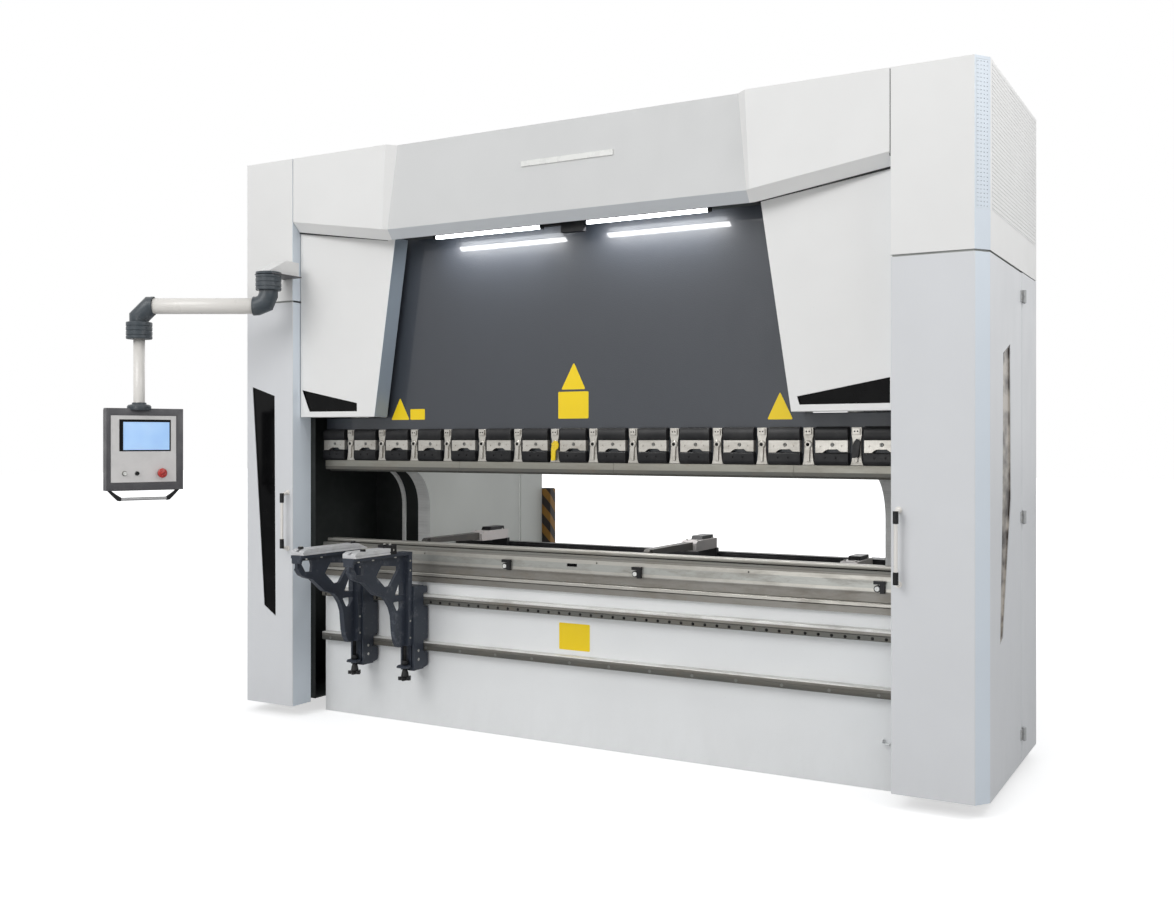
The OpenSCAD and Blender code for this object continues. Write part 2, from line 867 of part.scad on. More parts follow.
module arm_shape(x) {
  c = x - sup_w / 2;
  b = sup_front - slide_gap;
  color([0.17, 0.21, 0.27])
    place()
      difference() {
        union() {
          run_x(c - 15, c + 15, [[-332, 848], [-332, 784], [-312, 757], [-278, 741],
              [-238, 731], [-197, 700], [-156, 668], [-92, 650], [-64, 628], [-38, 595],
              [-22, 555], [-18, 515], [-13, 468], [-4, 434], [16, 402], [b, 402], [b, 848]]);
          run_x(c - 32, c + 32, [[-332, 834], [b, 834], [b, 848], [-332, 848]]);
          run_x(c - 30, c + 30, [[62, 402], [b, 402], [b, 834], [66, 834]]);
          span([c - 13 + slide_gap, b - 2, 480], [c + 13 - slide_gap, sup_front + 12, 660]);
        }
        run_x(c - 40, c + 40, [[-306, 808], [-296, 822], [-240, 820], [-232, 796],
            [-236, 766], [-278, 768]]);
        run_x(c - 40, c + 40, [[-146, 750], [-108, 797], [17, 785], [17, 765],
            [-44, 696], [-80, 694]]);
        run_x(c - 40, c + 40, [[-10, 650], [22, 706], [48, 706], [54, 644]]);
        run_x(c - 40, c + 40, [[-23, 618], [54, 618], [48, 600], [28, 572], [3, 576]]);
        bar_z(395, 620, c, screw_y, screw_r + screw_clear);
      }
}

module support_a_arm() {
  arm_shape(sup_a_x);
}

module support_b_arm() {
  arm_shape(sup_b_x);
}

module support_a_bar() {
  x = sup_a_x;
  color([0.7, 0.69, 0.71])
    place()
      difference() {
        run_x(x - sup_w + 1, x - 1, [[-324, 848], [125, 848], [125, 853], [60, 877],
            [-300, 877], [-324, 868]]);
        span([x - sup_w / 2 - 5, -400, 870], [x - sup_w / 2 + 5, 130, 900]);
      }
}

module support_b_bar() {
  x = sup_b_x;
  color([0.7, 0.69, 0.71])
    place() {
      difference() {
        run_x(x - sup_w + 1, x - 1, [[-324, 848], [-78, 848], [-78, 877], [-300, 877],
            [-324, 868]]);
        span([x - sup_w / 2 - 5, -420, 870], [x - sup_w / 2 + 5, -100, 900]);
      }
      span([x - sup_w + 1, -78, 848], [x - 1, -34, 897]);
    }
}

module knob(x) {
  c = x - sup_w / 2;
  color([0.04, 0.04, 0.045])
    place() {
      bar_z(240, 540, c, screw_y, screw_r);
      bar_z(308.2, 330, c, screw_y, 16);
      bar_z(236, 262, c, screw_y, 18);
      for (a = [0 : 72 : 288])
        translate([c, screw_y, 238])
          rotate([0, 0, a])
            translate([22, 0, 0])
              cylinder(h = 22, r = 11);
      translate([c, screw_y, 260])
        cylinder(h = 30, r1 = 16, r2 = 11);
    }
}

module support_a_knob() {
  knob(sup_a_x);
}

module support_b_knob() {
  knob(sup_b_x);
}

module pendant_bracket() {
  color([0.72, 0.74, 0.75])
    place()
      difference() {
        union() {
          run_x(pivot_x - 37, pivot_x + 43, [[0, 2180], [0, 2254], [-90, 2254],
              [pivot_y - 40, 2192], [pivot_y - 40, 2180]]);
          bar_z(2178, 2192, pivot_x, pivot_y, 62);
          bar_z(2103, 2180, pivot_x, pivot_y, 60);
          bar_z(2132, 2150, pivot_x, pivot_y, 62.5);
        }
        bar_z(2098, 2150, pivot_x, pivot_y, 30 + rod_clear);
      }
}

// Dark corner pieces of the pendant arm
module pendant_elbows() {
  color([0.13, 0.15, 0.17])
    place()
      translate([pivot_x, pivot_y, 2028])
        rotate([0, 0, 180 + arm_angle]) {
          bar_z(0, 75 - slide_gap, 0, 0, 46);
          bar_z(70, 118, 0, 0, 30);
          sphere(r = 46);
          bar_x(0, elbow_end, 0, 0, 46);
          bar_z(-78, 0, arm_len, 0, 46);
          translate([arm_len, 0, 0])
            sphere(r = 46);
          bar_x(arm_len - elbow_end, arm_len, 0, 0, 46);
        }
}

module pendant_tube() {
  color([0.9, 0.89, 0.86])
    place()
      translate([pivot_x, pivot_y, 2028])
        rotate([0, 0, 180 + arm_angle])
          bar_x(elbow_end, arm_len - elbow_end, 0, 0, 39);
}

module pendant_drop() {
  color([0.86, 0.86, 0.84])
    place() {
      bar_z(1868, 1949.7, px1, py1, 60);
      bar_z(1900, 1916, px1, py1, 62.5);
      bar_z(1545, 1870, px1, py1, 27);
      bar_z(panel_z + panel_h, 1547, px1, py1, 24);
      bar_z(1547, 1560, px1, py1, 56);
    }
}

// Everything on the panel is drawn with its screen towards +X about the drop tube
module panel_place() {
  place()
    translate([px1, py1, panel_z])
      rotate([0, 0, -panel_turn])
        translate([0, panel_off, 0])
          children();
}

module panel_holes() {
  h = panel_d / 2;
  bar_x(h - 20, h + 5, stop_at, button_z, stop_r + screw_clear);
  for (y = [white_at, dark_at])
    bar_x(h - 20, h + 5, y, button_z, button_r + screw_clear);
}

module pendant_box() {
  h = panel_d / 2;
  w = panel_w / 2;
  color([0.27, 0.27, 0.29])
    panel_place()
      difference() {
        span([-h, -w, 0], [h, w, panel_h]);
        span([h - 6, -w + 20, 38], [h + 5, w - 33, panel_h - 34]);
        panel_holes();
      }
}

module pendant_face() {
  h = panel_d / 2 - 6;
  w = panel_w / 2;
  color([0.75, 0.74, 0.73])
    panel_place()
      difference() {
        span([h, -w + 20, 38], [h + 5, w - 33, panel_h - 34]);
        span([h + 3, -w + 62, 190], [h + 8, w - 62, panel_h - 55]);
        panel_holes();
      }
}

module pendant_stop() {
  h = panel_d / 2;
  color([0.6, 0.08, 0.06])
    panel_place() {
      bar_x(h - 12, h + 10, stop_at, button_z, stop_r);
      bar_x(h + 9, h + 26, stop_at, button_z, 23);
    }
}

module push_button(y) {
  h = panel_d / 2;
  panel_place() {
    bar_x(h - 12, h + 7, y, button_z, button_r);
    bar_x(h + 6, h + 9, y, button_z, button_r + 1);
  }
}

module pendant_button_a() {
  color([0.9, 0.9, 0.9])
    push_button(white_at);
}

module pendant_button_b() {
  color([0.2, 0.2, 0.2])
    push_button(dark_at);
}

module pendant_handle() {
  w = panel_w / 2 - 20;
  color([0.06, 0.06, 0.06])
    panel_place() {
      for (s = [-1, 1])
        hull() {
          span([-9, s * w - 8, -2], [9, s * w + 8, 0]);
          span([-9, s * (w - 48) - 8, -51], [9, s * (w - 48) + 8, -33]);
        }
      bar_y(-w + 44, w - 44, 0, -42, 8);
    }
}

side_frames();
frame_base();
bed_plate();
bed_label();
die_holder();
bottom_die();
die_clamps();
front_rails();
hood();
led_tubes();
cylinder_covers();
cover_insets();
tower_caps();
tower_backs();
door_hinges();
cylinders();
ram_guides();
power_pack();
hydraulic_pipes();
electric_cabinet();
rear_guards();
guard_posts();
gauge_rails();
pendant_bracket();
ram_plate();
piston_rods();
clamp_blocks();
clamp_plates();
clamp_posts();
clamp_lever();
punch();
ram_labels();
door_left();
door_left_window();
door_left_handle();
door_right();
door_right_window();
door_right_handle();
gauge_carriages();
gauge_beam();
gauge_finger_left();
gauge_finger_mid();
gauge_finger_right();
support_a_carriage();
support_a_arm();
support_a_bar();
support_a_knob();
support_b_carriage();
support_b_arm();
support_b_bar();
support_b_knob();
pendant_elbows();
pendant_tube();
pendant_drop();
pendant_box();
pendant_face();
pendant_stop();
pendant_button_a();
pendant_button_b();
pendant_handle();
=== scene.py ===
import math
import bmesh
import bpy
from collections import namedtuple
from mathutils import Matrix, Vector


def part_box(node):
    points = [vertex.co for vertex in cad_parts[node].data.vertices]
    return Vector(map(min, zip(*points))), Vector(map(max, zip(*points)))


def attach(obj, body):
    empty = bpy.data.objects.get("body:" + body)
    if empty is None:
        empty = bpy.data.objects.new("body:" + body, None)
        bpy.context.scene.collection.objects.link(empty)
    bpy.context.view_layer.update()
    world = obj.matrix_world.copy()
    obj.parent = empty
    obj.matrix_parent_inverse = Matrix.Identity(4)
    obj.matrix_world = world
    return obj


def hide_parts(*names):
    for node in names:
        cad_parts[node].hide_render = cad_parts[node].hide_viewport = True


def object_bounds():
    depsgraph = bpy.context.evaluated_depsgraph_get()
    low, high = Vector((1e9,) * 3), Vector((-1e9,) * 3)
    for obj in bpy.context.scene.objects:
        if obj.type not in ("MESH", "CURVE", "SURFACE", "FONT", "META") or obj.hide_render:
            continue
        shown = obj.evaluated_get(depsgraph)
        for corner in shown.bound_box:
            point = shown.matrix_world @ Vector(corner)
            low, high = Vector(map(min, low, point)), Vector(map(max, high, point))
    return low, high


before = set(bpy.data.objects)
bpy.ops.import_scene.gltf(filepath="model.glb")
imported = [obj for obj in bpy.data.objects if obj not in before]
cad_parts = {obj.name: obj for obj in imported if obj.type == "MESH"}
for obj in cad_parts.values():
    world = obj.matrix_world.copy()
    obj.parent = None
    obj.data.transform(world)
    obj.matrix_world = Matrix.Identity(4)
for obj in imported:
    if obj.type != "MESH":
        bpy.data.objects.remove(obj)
CAD_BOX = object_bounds()

# Shapes are drawn in millimetres: X from the centre, Y back from the tower fronts, Z up
# from the floor. TO_ROOM turns them into the frame's metres.
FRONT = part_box("tower_caps")[0][1]
TO_ROOM = Matrix.Translation((0, FRONT, 0)) @ Matrix.Scale(0.001, 4)
Spot = namedtuple("Spot", "x0 y0 z0 x1 y1 z1")


def spot(node):
    """The box of a CAD node, in the millimetres that shapes are drawn in."""
    back = TO_ROOM.inverted()
    lo, hi = (back @ Vector(corner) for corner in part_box(node))
    return Spot(*lo, *hi)


# ---------------------------------------------------------------- camera, light, floor
IMAGE_W, HORIZON_SHIFT = 1174, -10.2
SENSOR, LENS, FAR_END = 36, 36.93, 200
EYE, EYE_TURN = (2.727, -5.483, 1.380), math.radians(29.53)


def aim_camera():
    data = bpy.data.cameras.new("camera")
    data.sensor_width = SENSOR
    data.lens = LENS
    data.shift_y = HORIZON_SHIFT / IMAGE_W
    data.clip_end = FAR_END
    camera = bpy.data.objects.new("camera", data)
    camera.location = EYE
    camera.rotation_euler = (math.radians(90), 0, EYE_TURN)
    bpy.context.collection.objects.link(camera)
    bpy.context.scene.camera = camera


def soft_lamp(name, place, target, size, power, thin=0.0):
    data = bpy.data.lights.new(name, "AREA")
    data.shape = "RECTANGLE" if thin else "DISK"
    data.size = size
    data.size_y = thin or size
    data.energy = power
    lamp = bpy.data.objects.new(name, data)
    lamp.location = place
    lamp.rotation_euler = (Vector(target) - Vector(place)).to_track_quat("-Z", "Y").to_euler()
    bpy.context.collection.objects.link(lamp)


# ---------------------------------------------------------------- shader building
def fill(tree, node, inputs):
    """Feeds a node's inputs, each with a value or with another node's output."""
    for key, value in inputs.items():
        if isinstance(value, bpy.types.NodeSocket):
            tree.links.new(value, node.inputs[key])
        else:
            node.inputs[key].default_value = value


def add_node(tree, kind, inputs=None, **settings):
    made = tree.nodes.new(kind)
    for key, value in settings.items():
        setattr(made, key, value)
    fill(tree, made, inputs or {})
    return made


def object_space(tree):
    return add_node(tree, "ShaderNodeTexCoord").outputs["Object"]


def math_node(tree, operation, a, b=0.0, clamp=False):
    return add_node(tree, "ShaderNodeMath", {0: a, 1: b}, operation=operation,
                    use_clamp=clamp).outputs[0]


def mix_colour(tree, factor, a, b, blend="MIX"):
    return add_node(tree, "ShaderNodeMix", {0: factor, 6: a, 7: b}, data_type="RGBA",
                    blend_type=blend).outputs[2]


def ramp(tree, value, low, high, to_low=0.0, to_high=1.0):
    return add_node(tree, "ShaderNodeMapRange", {0: value, 1: low, 2: high, 3: to_low,
                                                 4: to_high}).outputs[0]


def noise(tree, where, scale, detail=2.0, rough=0.5):
    return add_node(tree, "ShaderNodeTexNoise", {"Vector": where, "Scale": scale,
                    "Detail": detail, "Roughness": rough}).outputs[0]


def new_group(name, inputs):
    """A shader group with the given inputs, whose outputs are Color, Roughness and Height."""
    tree = bpy.data.node_groups.new(name, "ShaderNodeTree")
    for label, kind, value in inputs:
        socket = tree.interface.new_socket(label, in_out="INPUT", socket_type=kind)
        socket.default_value = value
    for label, kind in (("Color", "NodeSocketColor"), ("Roughness", "NodeSocketFloat"),
                        ("Height", "NodeSocketFloat")):
        tree.interface.new_socket(label, in_out="OUTPUT", socket_type=kind)
    return tree, tree.nodes.new("NodeGroupInput").outputs, tree.nodes.new("NodeGroupOutput")


def close_group(tree, out, colour, rough, height):
    fill(tree, out, {"Color": colour, "Roughness": rough, "Height": height})
    return tree


FLOAT = "NodeSocketFloat"
COLOUR = "NodeSocketColor"
WHITE = (1, 1, 1, 1)


def coat_group():
    """Sprayed or powder-coated paint: orange peel, tone that wanders, smears, floor dust."""
    tree, given, out = new_group("painted_coat", [
        ("Color", COLOUR, WHITE), ("Gloss", FLOAT, 0.4), ("Peel", FLOAT, 650.0),
        ("Tone", FLOAT, 0.05), ("Dust", FLOAT, 0.3)])
    where = object_space(tree)
    peel = noise(tree, where, given["Peel"], 2)
    broad = noise(tree, where, 1.7, 3, 0.55)
    smear = noise(tree, add_node(tree, "ShaderNodeMapping", {"Vector": where,
                  "Scale": (5, 5, 1.6)}).outputs[0], 2.4, 5, 0.65)
    speck = ramp(tree, noise(tree, where, 160, 2), 0.70, 0.78)
    height_z = add_node(tree, "ShaderNodeSeparateXYZ", {0: where}).outputs["Z"]
    low = ramp(tree, height_z, 0.0, 0.30, 1.0, 0.0)
    dust = math_node(tree, "MULTIPLY", math_node(tree, "MULTIPLY", low, given["Dust"]),
                     ramp(tree, smear, 0.35, 0.65))
    shade = math_node(tree, "SUBTRACT", 1.0, math_node(tree, "MULTIPLY", given["Tone"],
                      ramp(tree, broad, 0.3, 0.7)))
    tinted = mix_colour(tree, 1.0, given["Color"], add_node(tree, "ShaderNodeCombineColor",
                        {0: shade, 1: shade, 2: shade}).outputs[0], "MULTIPLY")
    speckled = mix_colour(tree, math_node(tree, "MULTIPLY", speck, 0.10), tinted,
                          (0.16, 0.15, 0.13, 1))
    dusty = mix_colour(tree, dust, speckled, (0.30, 0.28, 0.24, 1))
    rough = math_node(tree, "ADD", given["Gloss"], ramp(tree, smear, 0.3, 0.7, -0.05, 0.09), True)
    return close_group(tree, out, dusty, rough, peel)


def ground_group():
    """Ground or milled steel: fine lines along Grain's short axis, oil stains, light rust."""
    tree, given, out = new_group("ground_metal", [
        ("Color", COLOUR, WHITE), ("Gloss", FLOAT, 0.3), ("Stain", FLOAT, 0.3),
        ("Rust", FLOAT, 0.1), ("Grain", "NodeSocketVector", (6, 700, 700))])
    where = object_space(tree)
    stretched = add_node(tree, "ShaderNodeVectorMath", {0: where, 1: given["Grain"]},
                         operation="MULTIPLY").outputs[0]
    lines = noise(tree, stretched, 1.0, 4, 0.7)
    stain = ramp(tree, noise(tree, add_node(tree, "ShaderNodeMapping", {"Vector": where,
                 "Scale": (1.2, 4, 4)}).outputs[0], 3.4, 6, 0.68), 0.46, 0.68)
    rust = ramp(tree, noise(tree, where, 21, 5, 0.75), 0.60, 0.72)
    lined = mix_colour(tree, ramp(tree, lines, 0.3, 0.7, 0.0, 0.32), given["Color"],
                       (0.22, 0.22, 0.21, 1))
    stained = mix_colour(tree, math_node(tree, "MULTIPLY", stain, given["Stain"]), lined,
                         (0.20, 0.18, 0.15, 1))
    rusty = mix_colour(tree, math_node(tree, "MULTIPLY", rust, given["Rust"]), stained,
                       (0.24, 0.11, 0.05, 1))
    rough = math_node(tree, "ADD", given["Gloss"], math_node(tree, "ADD",
                      ramp(tree, lines, 0.3, 0.7, -0.05, 0.10),
                      math_node(tree, "MULTIPLY", stain, 0.16)), True)
    return close_group(tree, out, rusty, rough, lines)


def moulded_group():
    """Moulded plastic: fine spark texture, worn patches that shine a little more."""
    tree, given, out = new_group("moulded_skin", [
        ("Color", COLOUR, WHITE), ("Gloss", FLOAT, 0.5), ("Spark", FLOAT, 900.0),
        ("Wear", FLOAT, 0.3)])
    where = object_space(tree)
    spark = noise(tree, where, given["Spark"], 3, 0.6)
    patch = ramp(tree, noise(tree, where, 14, 4, 0.6), 0.45, 0.68)
    worn = mix_colour(tree, math_node(tree, "MULTIPLY", patch, math_node(tree, "MULTIPLY",
                      given["Wear"], 0.35)), given["Color"], (0.32, 0.31, 0.30, 1))
    rough = math_node(tree, "SUBTRACT", given["Gloss"], math_node(tree, "MULTIPLY", patch,
                      math_node(tree, "MULTIPLY", given["Wear"], 0.3)), True)
    return close_group(tree, out, worn, rough, spark)


def cast_group():
    """Painted sand casting: lumpy skin with pits and rubbed high spots."""
    tree, given, out = new_group("cast_skin", [
        ("Color", COLOUR, WHITE), ("Gloss", FLOAT, 0.45), ("Lump", FLOAT, 220.0),
        ("Rub", FLOAT, 0.3)])
    where = object_space(tree)
    lump = noise(tree, where, given["Lump"], 4, 0.62)
    pit = ramp(tree, noise(tree, where, 95, 2), 0.30, 0.42, -0.6, 0.0)
    rub = ramp(tree, noise(tree, where, 17, 5, 0.7), 0.56, 0.70)
    rubbed = mix_colour(tree, math_node(tree, "MULTIPLY", rub, given["Rub"]), given["Color"],
                        (0.24, 0.26, 0.29, 1))
    rough = math_node(tree, "ADD", given["Gloss"], ramp(tree, lump, 0.3, 0.7, -0.06, 0.10), True)
    return close_group(tree, out, rubbed, rough, math_node(tree, "ADD", lump, pit))


def paint(red, green, blue):
    """Linear colour of a paint given in the usual 0 to 255 steps."""
    def linear(step):
        share = step / 255
        return share / 12.92 if share <= 0.04045 else ((share + 0.055) / 1.055) ** 2.4
    return (linear(red), linear(green), linear(blue), 1)


def finish_of(name, group, colour, gloss, bump, reach, metallic=0.0, coat=0.0, **extra):
    """A material whose colour, roughness and relief come from one shared effect."""
    made = bpy.data.materials.new(name)
    made.use_nodes = True
    tree = made.node_tree
    shader = tree.nodes["Principled BSDF"]
    effect = add_node(tree, "ShaderNodeGroup", {"Color": colour, "Gloss": gloss, **extra},
                      node_tree=group)
    relief = add_node(tree, "ShaderNodeBump", {"Height": effect.outputs["Height"],
                      "Strength": bump, "Distance": reach})
    fill(tree, shader, {"Base Color": effect.outputs["Color"], "Normal": relief.outputs[0],
                        "Roughness": effect.outputs["Roughness"], "Metallic": metallic,
                        "Coat Weight": coat, "Coat Roughness": 0.2})
    made.diffuse_color = colour
    return made


COAT, GROUND, MOULDED, CAST = coat_group(), ground_group(), moulded_group(), cast_group()
ALONG_X = (5, 900, 900)
ALONG_Y = (900, 5, 900)
ALONG_Z = (900, 900, 5)


def steel(name, steps, gloss, bump, reach, metallic, grain, stain, rust):
    return finish_of(name, GROUND, paint(*steps), gloss, bump, reach, metallic, Grain=grain,
                     Stain=stain, Rust=rust)


def lamp_glow():
    """Frosted tube that shines."""
    made = finish_of("lamp_glow", MOULDED, (0.95, 0.97, 1, 1), 0.35, 0.02, 0.0004)
    fill(made.node_tree, made.node_tree.nodes["Principled BSDF"],
         {"Emission Color": (0.93, 0.97, 1, 1), "Emission Strength": 8.0})
    return made


def ram_paint():
    """Dark hammered paint under a clear gloss that mirrors the lamps."""
    made = finish_of("ram_hammered", COAT, paint(47, 52, 60), 0.42, 0.5, 0.0010, coat=0.55,
                     Peel=190.0, Tone=0.10, Dust=0.0)
    tree = made.node_tree
    fine = noise(tree, object_space(tree), 46, 3)
    relief = add_node(tree, "ShaderNodeBump", {"Height": fine, "Strength": 0.12,
                      "Distance": 0.0008})
    fill(tree, tree.nodes["Principled BSDF"], {"Coat Roughness": 0.03,
                                               "Coat Normal": relief.outputs[0]})
    return made


def recolour(tree, colour):
    """Feeds a colour into a material's shared effect in place of its plain one."""
    effect = [node for node in tree.nodes if node.type == "GROUP"][0]
    fill(tree, effect, {"Color": colour})


def stripes():
    """Slanted black and yellow bands on the rear posts, dulled by use."""
    made = finish_of("hazard_stripes", COAT, WHITE, 0.5, 0.06, 0.0005, Tone=0.2, Dust=0.5)
    tree = made.node_tree
    axes = add_node(tree, "ShaderNodeSeparateXYZ", {0: object_space(tree)}).outputs
    slant = math_node(tree, "ADD", axes["Z"], math_node(tree, "ADD", axes["X"], axes["Y"]))
    band = math_node(tree, "GREATER_THAN", math_node(tree, "PINGPONG", slant, 0.06), 0.03)
    recolour(tree, mix_colour(tree, band, paint(34, 25, 20), paint(132, 94, 28)))
    return made


def screen_glow():
    """Lit display: a plain blue field with pale clouds."""
    made = finish_of("screen_glow", MOULDED, paint(150, 190, 235), 0.12, 0.01, 0.0002)
    tree = made.node_tree
    cloud = ramp(tree, noise(tree, object_space(tree), 6, 2), 0.35, 0.65)
    field = mix_colour(tree, cloud, paint(142, 172, 208), paint(178, 202, 228))
    fill(tree, tree.nodes["Principled BSDF"], {"Emission Color": field,
                                               "Emission Strength": 0.52})
    return made


def smoked_painted_reflection():
    """Smoked side window with a painted reflection: pale and brown bands, as of a workshop mirrored in
    it.
    """
    made = finish_of("smoked_painted_reflection", MOULDED, WHITE, 0.3, 0.02, 0.0002, Wear=0.0)
    tree = made.node_tree
    banded = add_node(tree, "ShaderNodeMapping", {"Vector": object_space(tree),
                      "Scale": (4, 4, 9)}).outputs[0]
    share = ramp(tree, noise(tree, banded, 1.3, 4), 0.40, 0.62)
    recolour(tree, mix_colour(tree, share, paint(64, 55, 50), paint(186, 178, 168)))
    return made


MAT = {
    "cover": finish_of("cover_powder", COAT, paint(240, 239, 237), 0.46, 0.10, 0.0004, Peel=700.0,
                       Dust=0.1),
    # A darker copy of the cover white for the hood's middle panel: painted shade.
    "cover_mid_painted_shade": finish_of("hood_mid_painted_shade", COAT, paint(217, 217, 216), 0.46, 0.10, 0.0004,
                           Peel=700.0, Dust=0.0),
    # A bluish copy of the door white for the towers' chamfers and inner sides: painted shade.
    "bevel": finish_of("bevel_powder", COAT, paint(224, 232, 240), 0.36, 0.10, 0.0004, Dust=0.06),
    # A darker copy of the cover white for the hood's underside: painted shade.
    "hood_low_painted_shade": finish_of("hood_underside_painted_shade", COAT, paint(208, 211, 214), 0.40, 0.10, 0.0004,
                          Dust=0.0),
    "bevel_shade": finish_of("shaded_powder", COAT, paint(152, 163, 174), 0.4, 0.10, 0.0004,
                             Dust=0.06),
    # A lighter copy of the cover white for the bed: painted light.
    "bed": finish_of("bed_powder_painted_light", COAT, paint(243, 244, 244), 0.42, 0.10, 0.0004, Dust=0.06),
    "door": finish_of("door_powder", COAT, paint(224, 225, 227), 0.40, 0.10, 0.0004, Dust=0.06),
    # Near-white steel for the frames' throat edges and trims: a bright cut edge, partly painted light.
    "cut_edge_and_painted_light": steel("cut_edge_and_painted_light", (250, 250, 248), 0.45, 0.10, 0.0004, 0.05, ALONG_X, 0.12, 0.05),
    # Dark grey for the sheets inside the towers and the hood: painted shade.
    "painted_shade_sheet": finish_of("dark_sheet_painted_shade", MOULDED, paint(66, 70, 69), 0.75, 0.25, 0.0006, Wear=0.1),
    "frame": finish_of("frame_satin", COAT, paint(192, 194, 190), 0.42, 0.10, 0.0005, Tone=0.10),
    "base": finish_of("base_paint", COAT, paint(96, 100, 104), 0.5, 0.15, 0.0006, Dust=0.6),
    "pack": finish_of("pack_paint", COAT, paint(104, 118, 132), 0.4, 0.15, 0.0006, Tone=0.12),
    "ram": ram_paint(),
    "blue_grey": finish_of("casting_paint", CAST, paint(46, 52, 63), 0.42, 0.3, 0.0012),
    "table": steel("table_steel", (176, 177, 172), 0.38, 0.12, 0.0003, 0.85, ALONG_X, 0.6, 0.08),
    # Darker table steel: partly its own tone, partly painted shade on the die holder; also the rails'
    # darker bands.
    "table_dark": steel("table_scale_and_painted_shade", (140, 137, 131), 0.42, 0.14, 0.0003, 0.8, ALONG_X, 0.7, 0.25),
    "tool": steel("tool_steel", (158, 156, 146), 0.36, 0.10, 0.0003, 0.8, ALONG_X, 0.35, 0.10),
    "die": steel("die_steel", (196, 193, 185), 0.34, 0.10, 0.0003, 0.8, ALONG_X, 0.45, 0.06),
    "rail": steel("rail_steel", (240, 239, 235), 0.40, 0.12, 0.0003, 0.3, ALONG_X, 0.55, 0.1),
    # Dark steel for the rails' lower strips, also painted shade on the punch's tip and the table's top
    # face.
    "rail_dark": steel("rail_scale_and_painted_shade", (98, 98, 93), 0.5, 0.14, 0.0003, 0.7, ALONG_X, 0.6, 0.25),
    "clamp_steel": steel("clamp_steel", (208, 204, 196), 0.32, 0.12, 0.0003, 0.75, ALONG_Z, 0.45, 0.2),
    "dark_steel": steel("dark_steel", (132, 133, 130), 0.40, 0.12, 0.0003, 0.8, ALONG_X, 0.5, 0.15),
    "rod": steel("chrome_rod", (222, 223, 226), 0.12, 0.02, 0.0001, 1.0, ALONG_Z, 0.1, 0.0),
    "screw": steel("screw_steel", (196, 195, 190), 0.28, 0.05, 0.0002, 0.9, ALONG_Z, 0.2, 0.1),
    "alloy": steel("alloy_bar", (178, 178, 182), 0.36, 0.08, 0.0002, 0.6, ALONG_Y, 0.35, 0.0),
    "alloy_x": steel("alloy_beam", (196, 196, 197), 0.38, 0.08, 0.0002, 0.6, ALONG_X, 0.2, 0.0),
    "rest": steel("rest_bar", (232, 232, 234), 0.40, 0.08, 0.0002, 0.3, ALONG_Y, 0.25, 0.0),
    "black": finish_of("black_block", MOULDED, paint(22, 22, 24), 0.38, 0.10, 0.0004, Wear=0.12),
    # Black rubber for the latch, also used as painted shade in the hood's seams.
    "rubber_and_painted_shade": finish_of("black_rubber_and_painted_shade", MOULDED, paint(26, 26, 27), 0.68, 0.2, 0.0005, Wear=0.3),
    "elbow": finish_of("elbow_plastic", MOULDED, paint(62, 70, 76), 0.38, 0.12, 0.0005, Wear=0.4),
    "tube": finish_of("cream_tube", COAT, paint(236, 232, 226), 0.28, 0.05, 0.0003, coat=0.3),
    "window": finish_of("smoked_panel", MOULDED, paint(9, 9, 10), 0.10, 0.02, 0.0002, Wear=0.02),
    "smoked_with_painted_reflection": smoked_painted_reflection(),
    "finger": finish_of("finger_cast", CAST, paint(186, 180, 178), 0.46, 0.2, 0.0006, Rub=0.2),
    "finger_dark": steel("finger_bar", (74, 71, 69), 0.42, 0.1, 0.0003, 0.6, ALONG_Y, 0.3, 0.05),
    "hinge": finish_of("hinge_zinc", CAST, paint(182, 183, 183), 0.44, 0.2, 0.0006, Rub=0.3),
    "filter": finish_of("cap_filter", MOULDED, paint(84, 86, 88), 0.8, 0.1, 0.0004, Wear=0.1),
    # Near-black for holes, slots and gaps drawn as flat discs and strips: painted shade.
    "painted_shade_dark": finish_of("dark_gap_painted_shade", MOULDED, paint(16, 16, 17), 0.8, 0.1, 0.0004),
    "label": finish_of("yellow_film", MOULDED, paint(249, 214, 14), 0.35, 0.02, 0.0001, Wear=0.03),
    "yellow": finish_of("lever_yellow", MOULDED, paint(240, 205, 20), 0.34, 0.06, 0.0003),
    "panel_frame": finish_of("panel_frame", MOULDED, paint(84, 83, 86), 0.5, 0.15, 0.0005),
    "panel_face": finish_of("panel_face", MOULDED, paint(226, 223, 221), 0.42, 0.05, 0.0002),
    "red": finish_of("stop_red", MOULDED, paint(190, 42, 34), 0.3, 0.04, 0.0003, coat=0.3),
    "white": finish_of("button_white", MOULDED, paint(236, 236, 232), 0.3, 0.04, 0.0003),
    "glow": lamp_glow(),
    "stripes": stripes(),
    "screen": screen_glow(),
}
for key, shine in (("window", 0.12), ("smoked_with_painted_reflection", 0.25), ("black", 0.3), ("painted_shade_dark", 0.1),
                   ("painted_shade_sheet", 0.3)):
    MAT[key].node_tree.nodes["Principled BSDF"].inputs["Specular IOR Level"].default_value = shine


# ---------------------------------------------------------------- shape building
RIGHTWARD, REARWARD, FORWARD, UPWARD = (1, 0, 0), (0, 1, 0), (0, -1, 0), (0, 0, 1)


def turned(axis, u, v, w):
    """The point that is u, v across and w along the named axis."""
    return {"x": (w, u, v), "y": (u, w, v), "z": (u, v, w)}[axis]


def oblong(u0, v0, u1, v1):
    """The four corners of an upright rectangle."""
    return [(u0, v0), (u1, v0), (u1, v1), (u0, v1)]


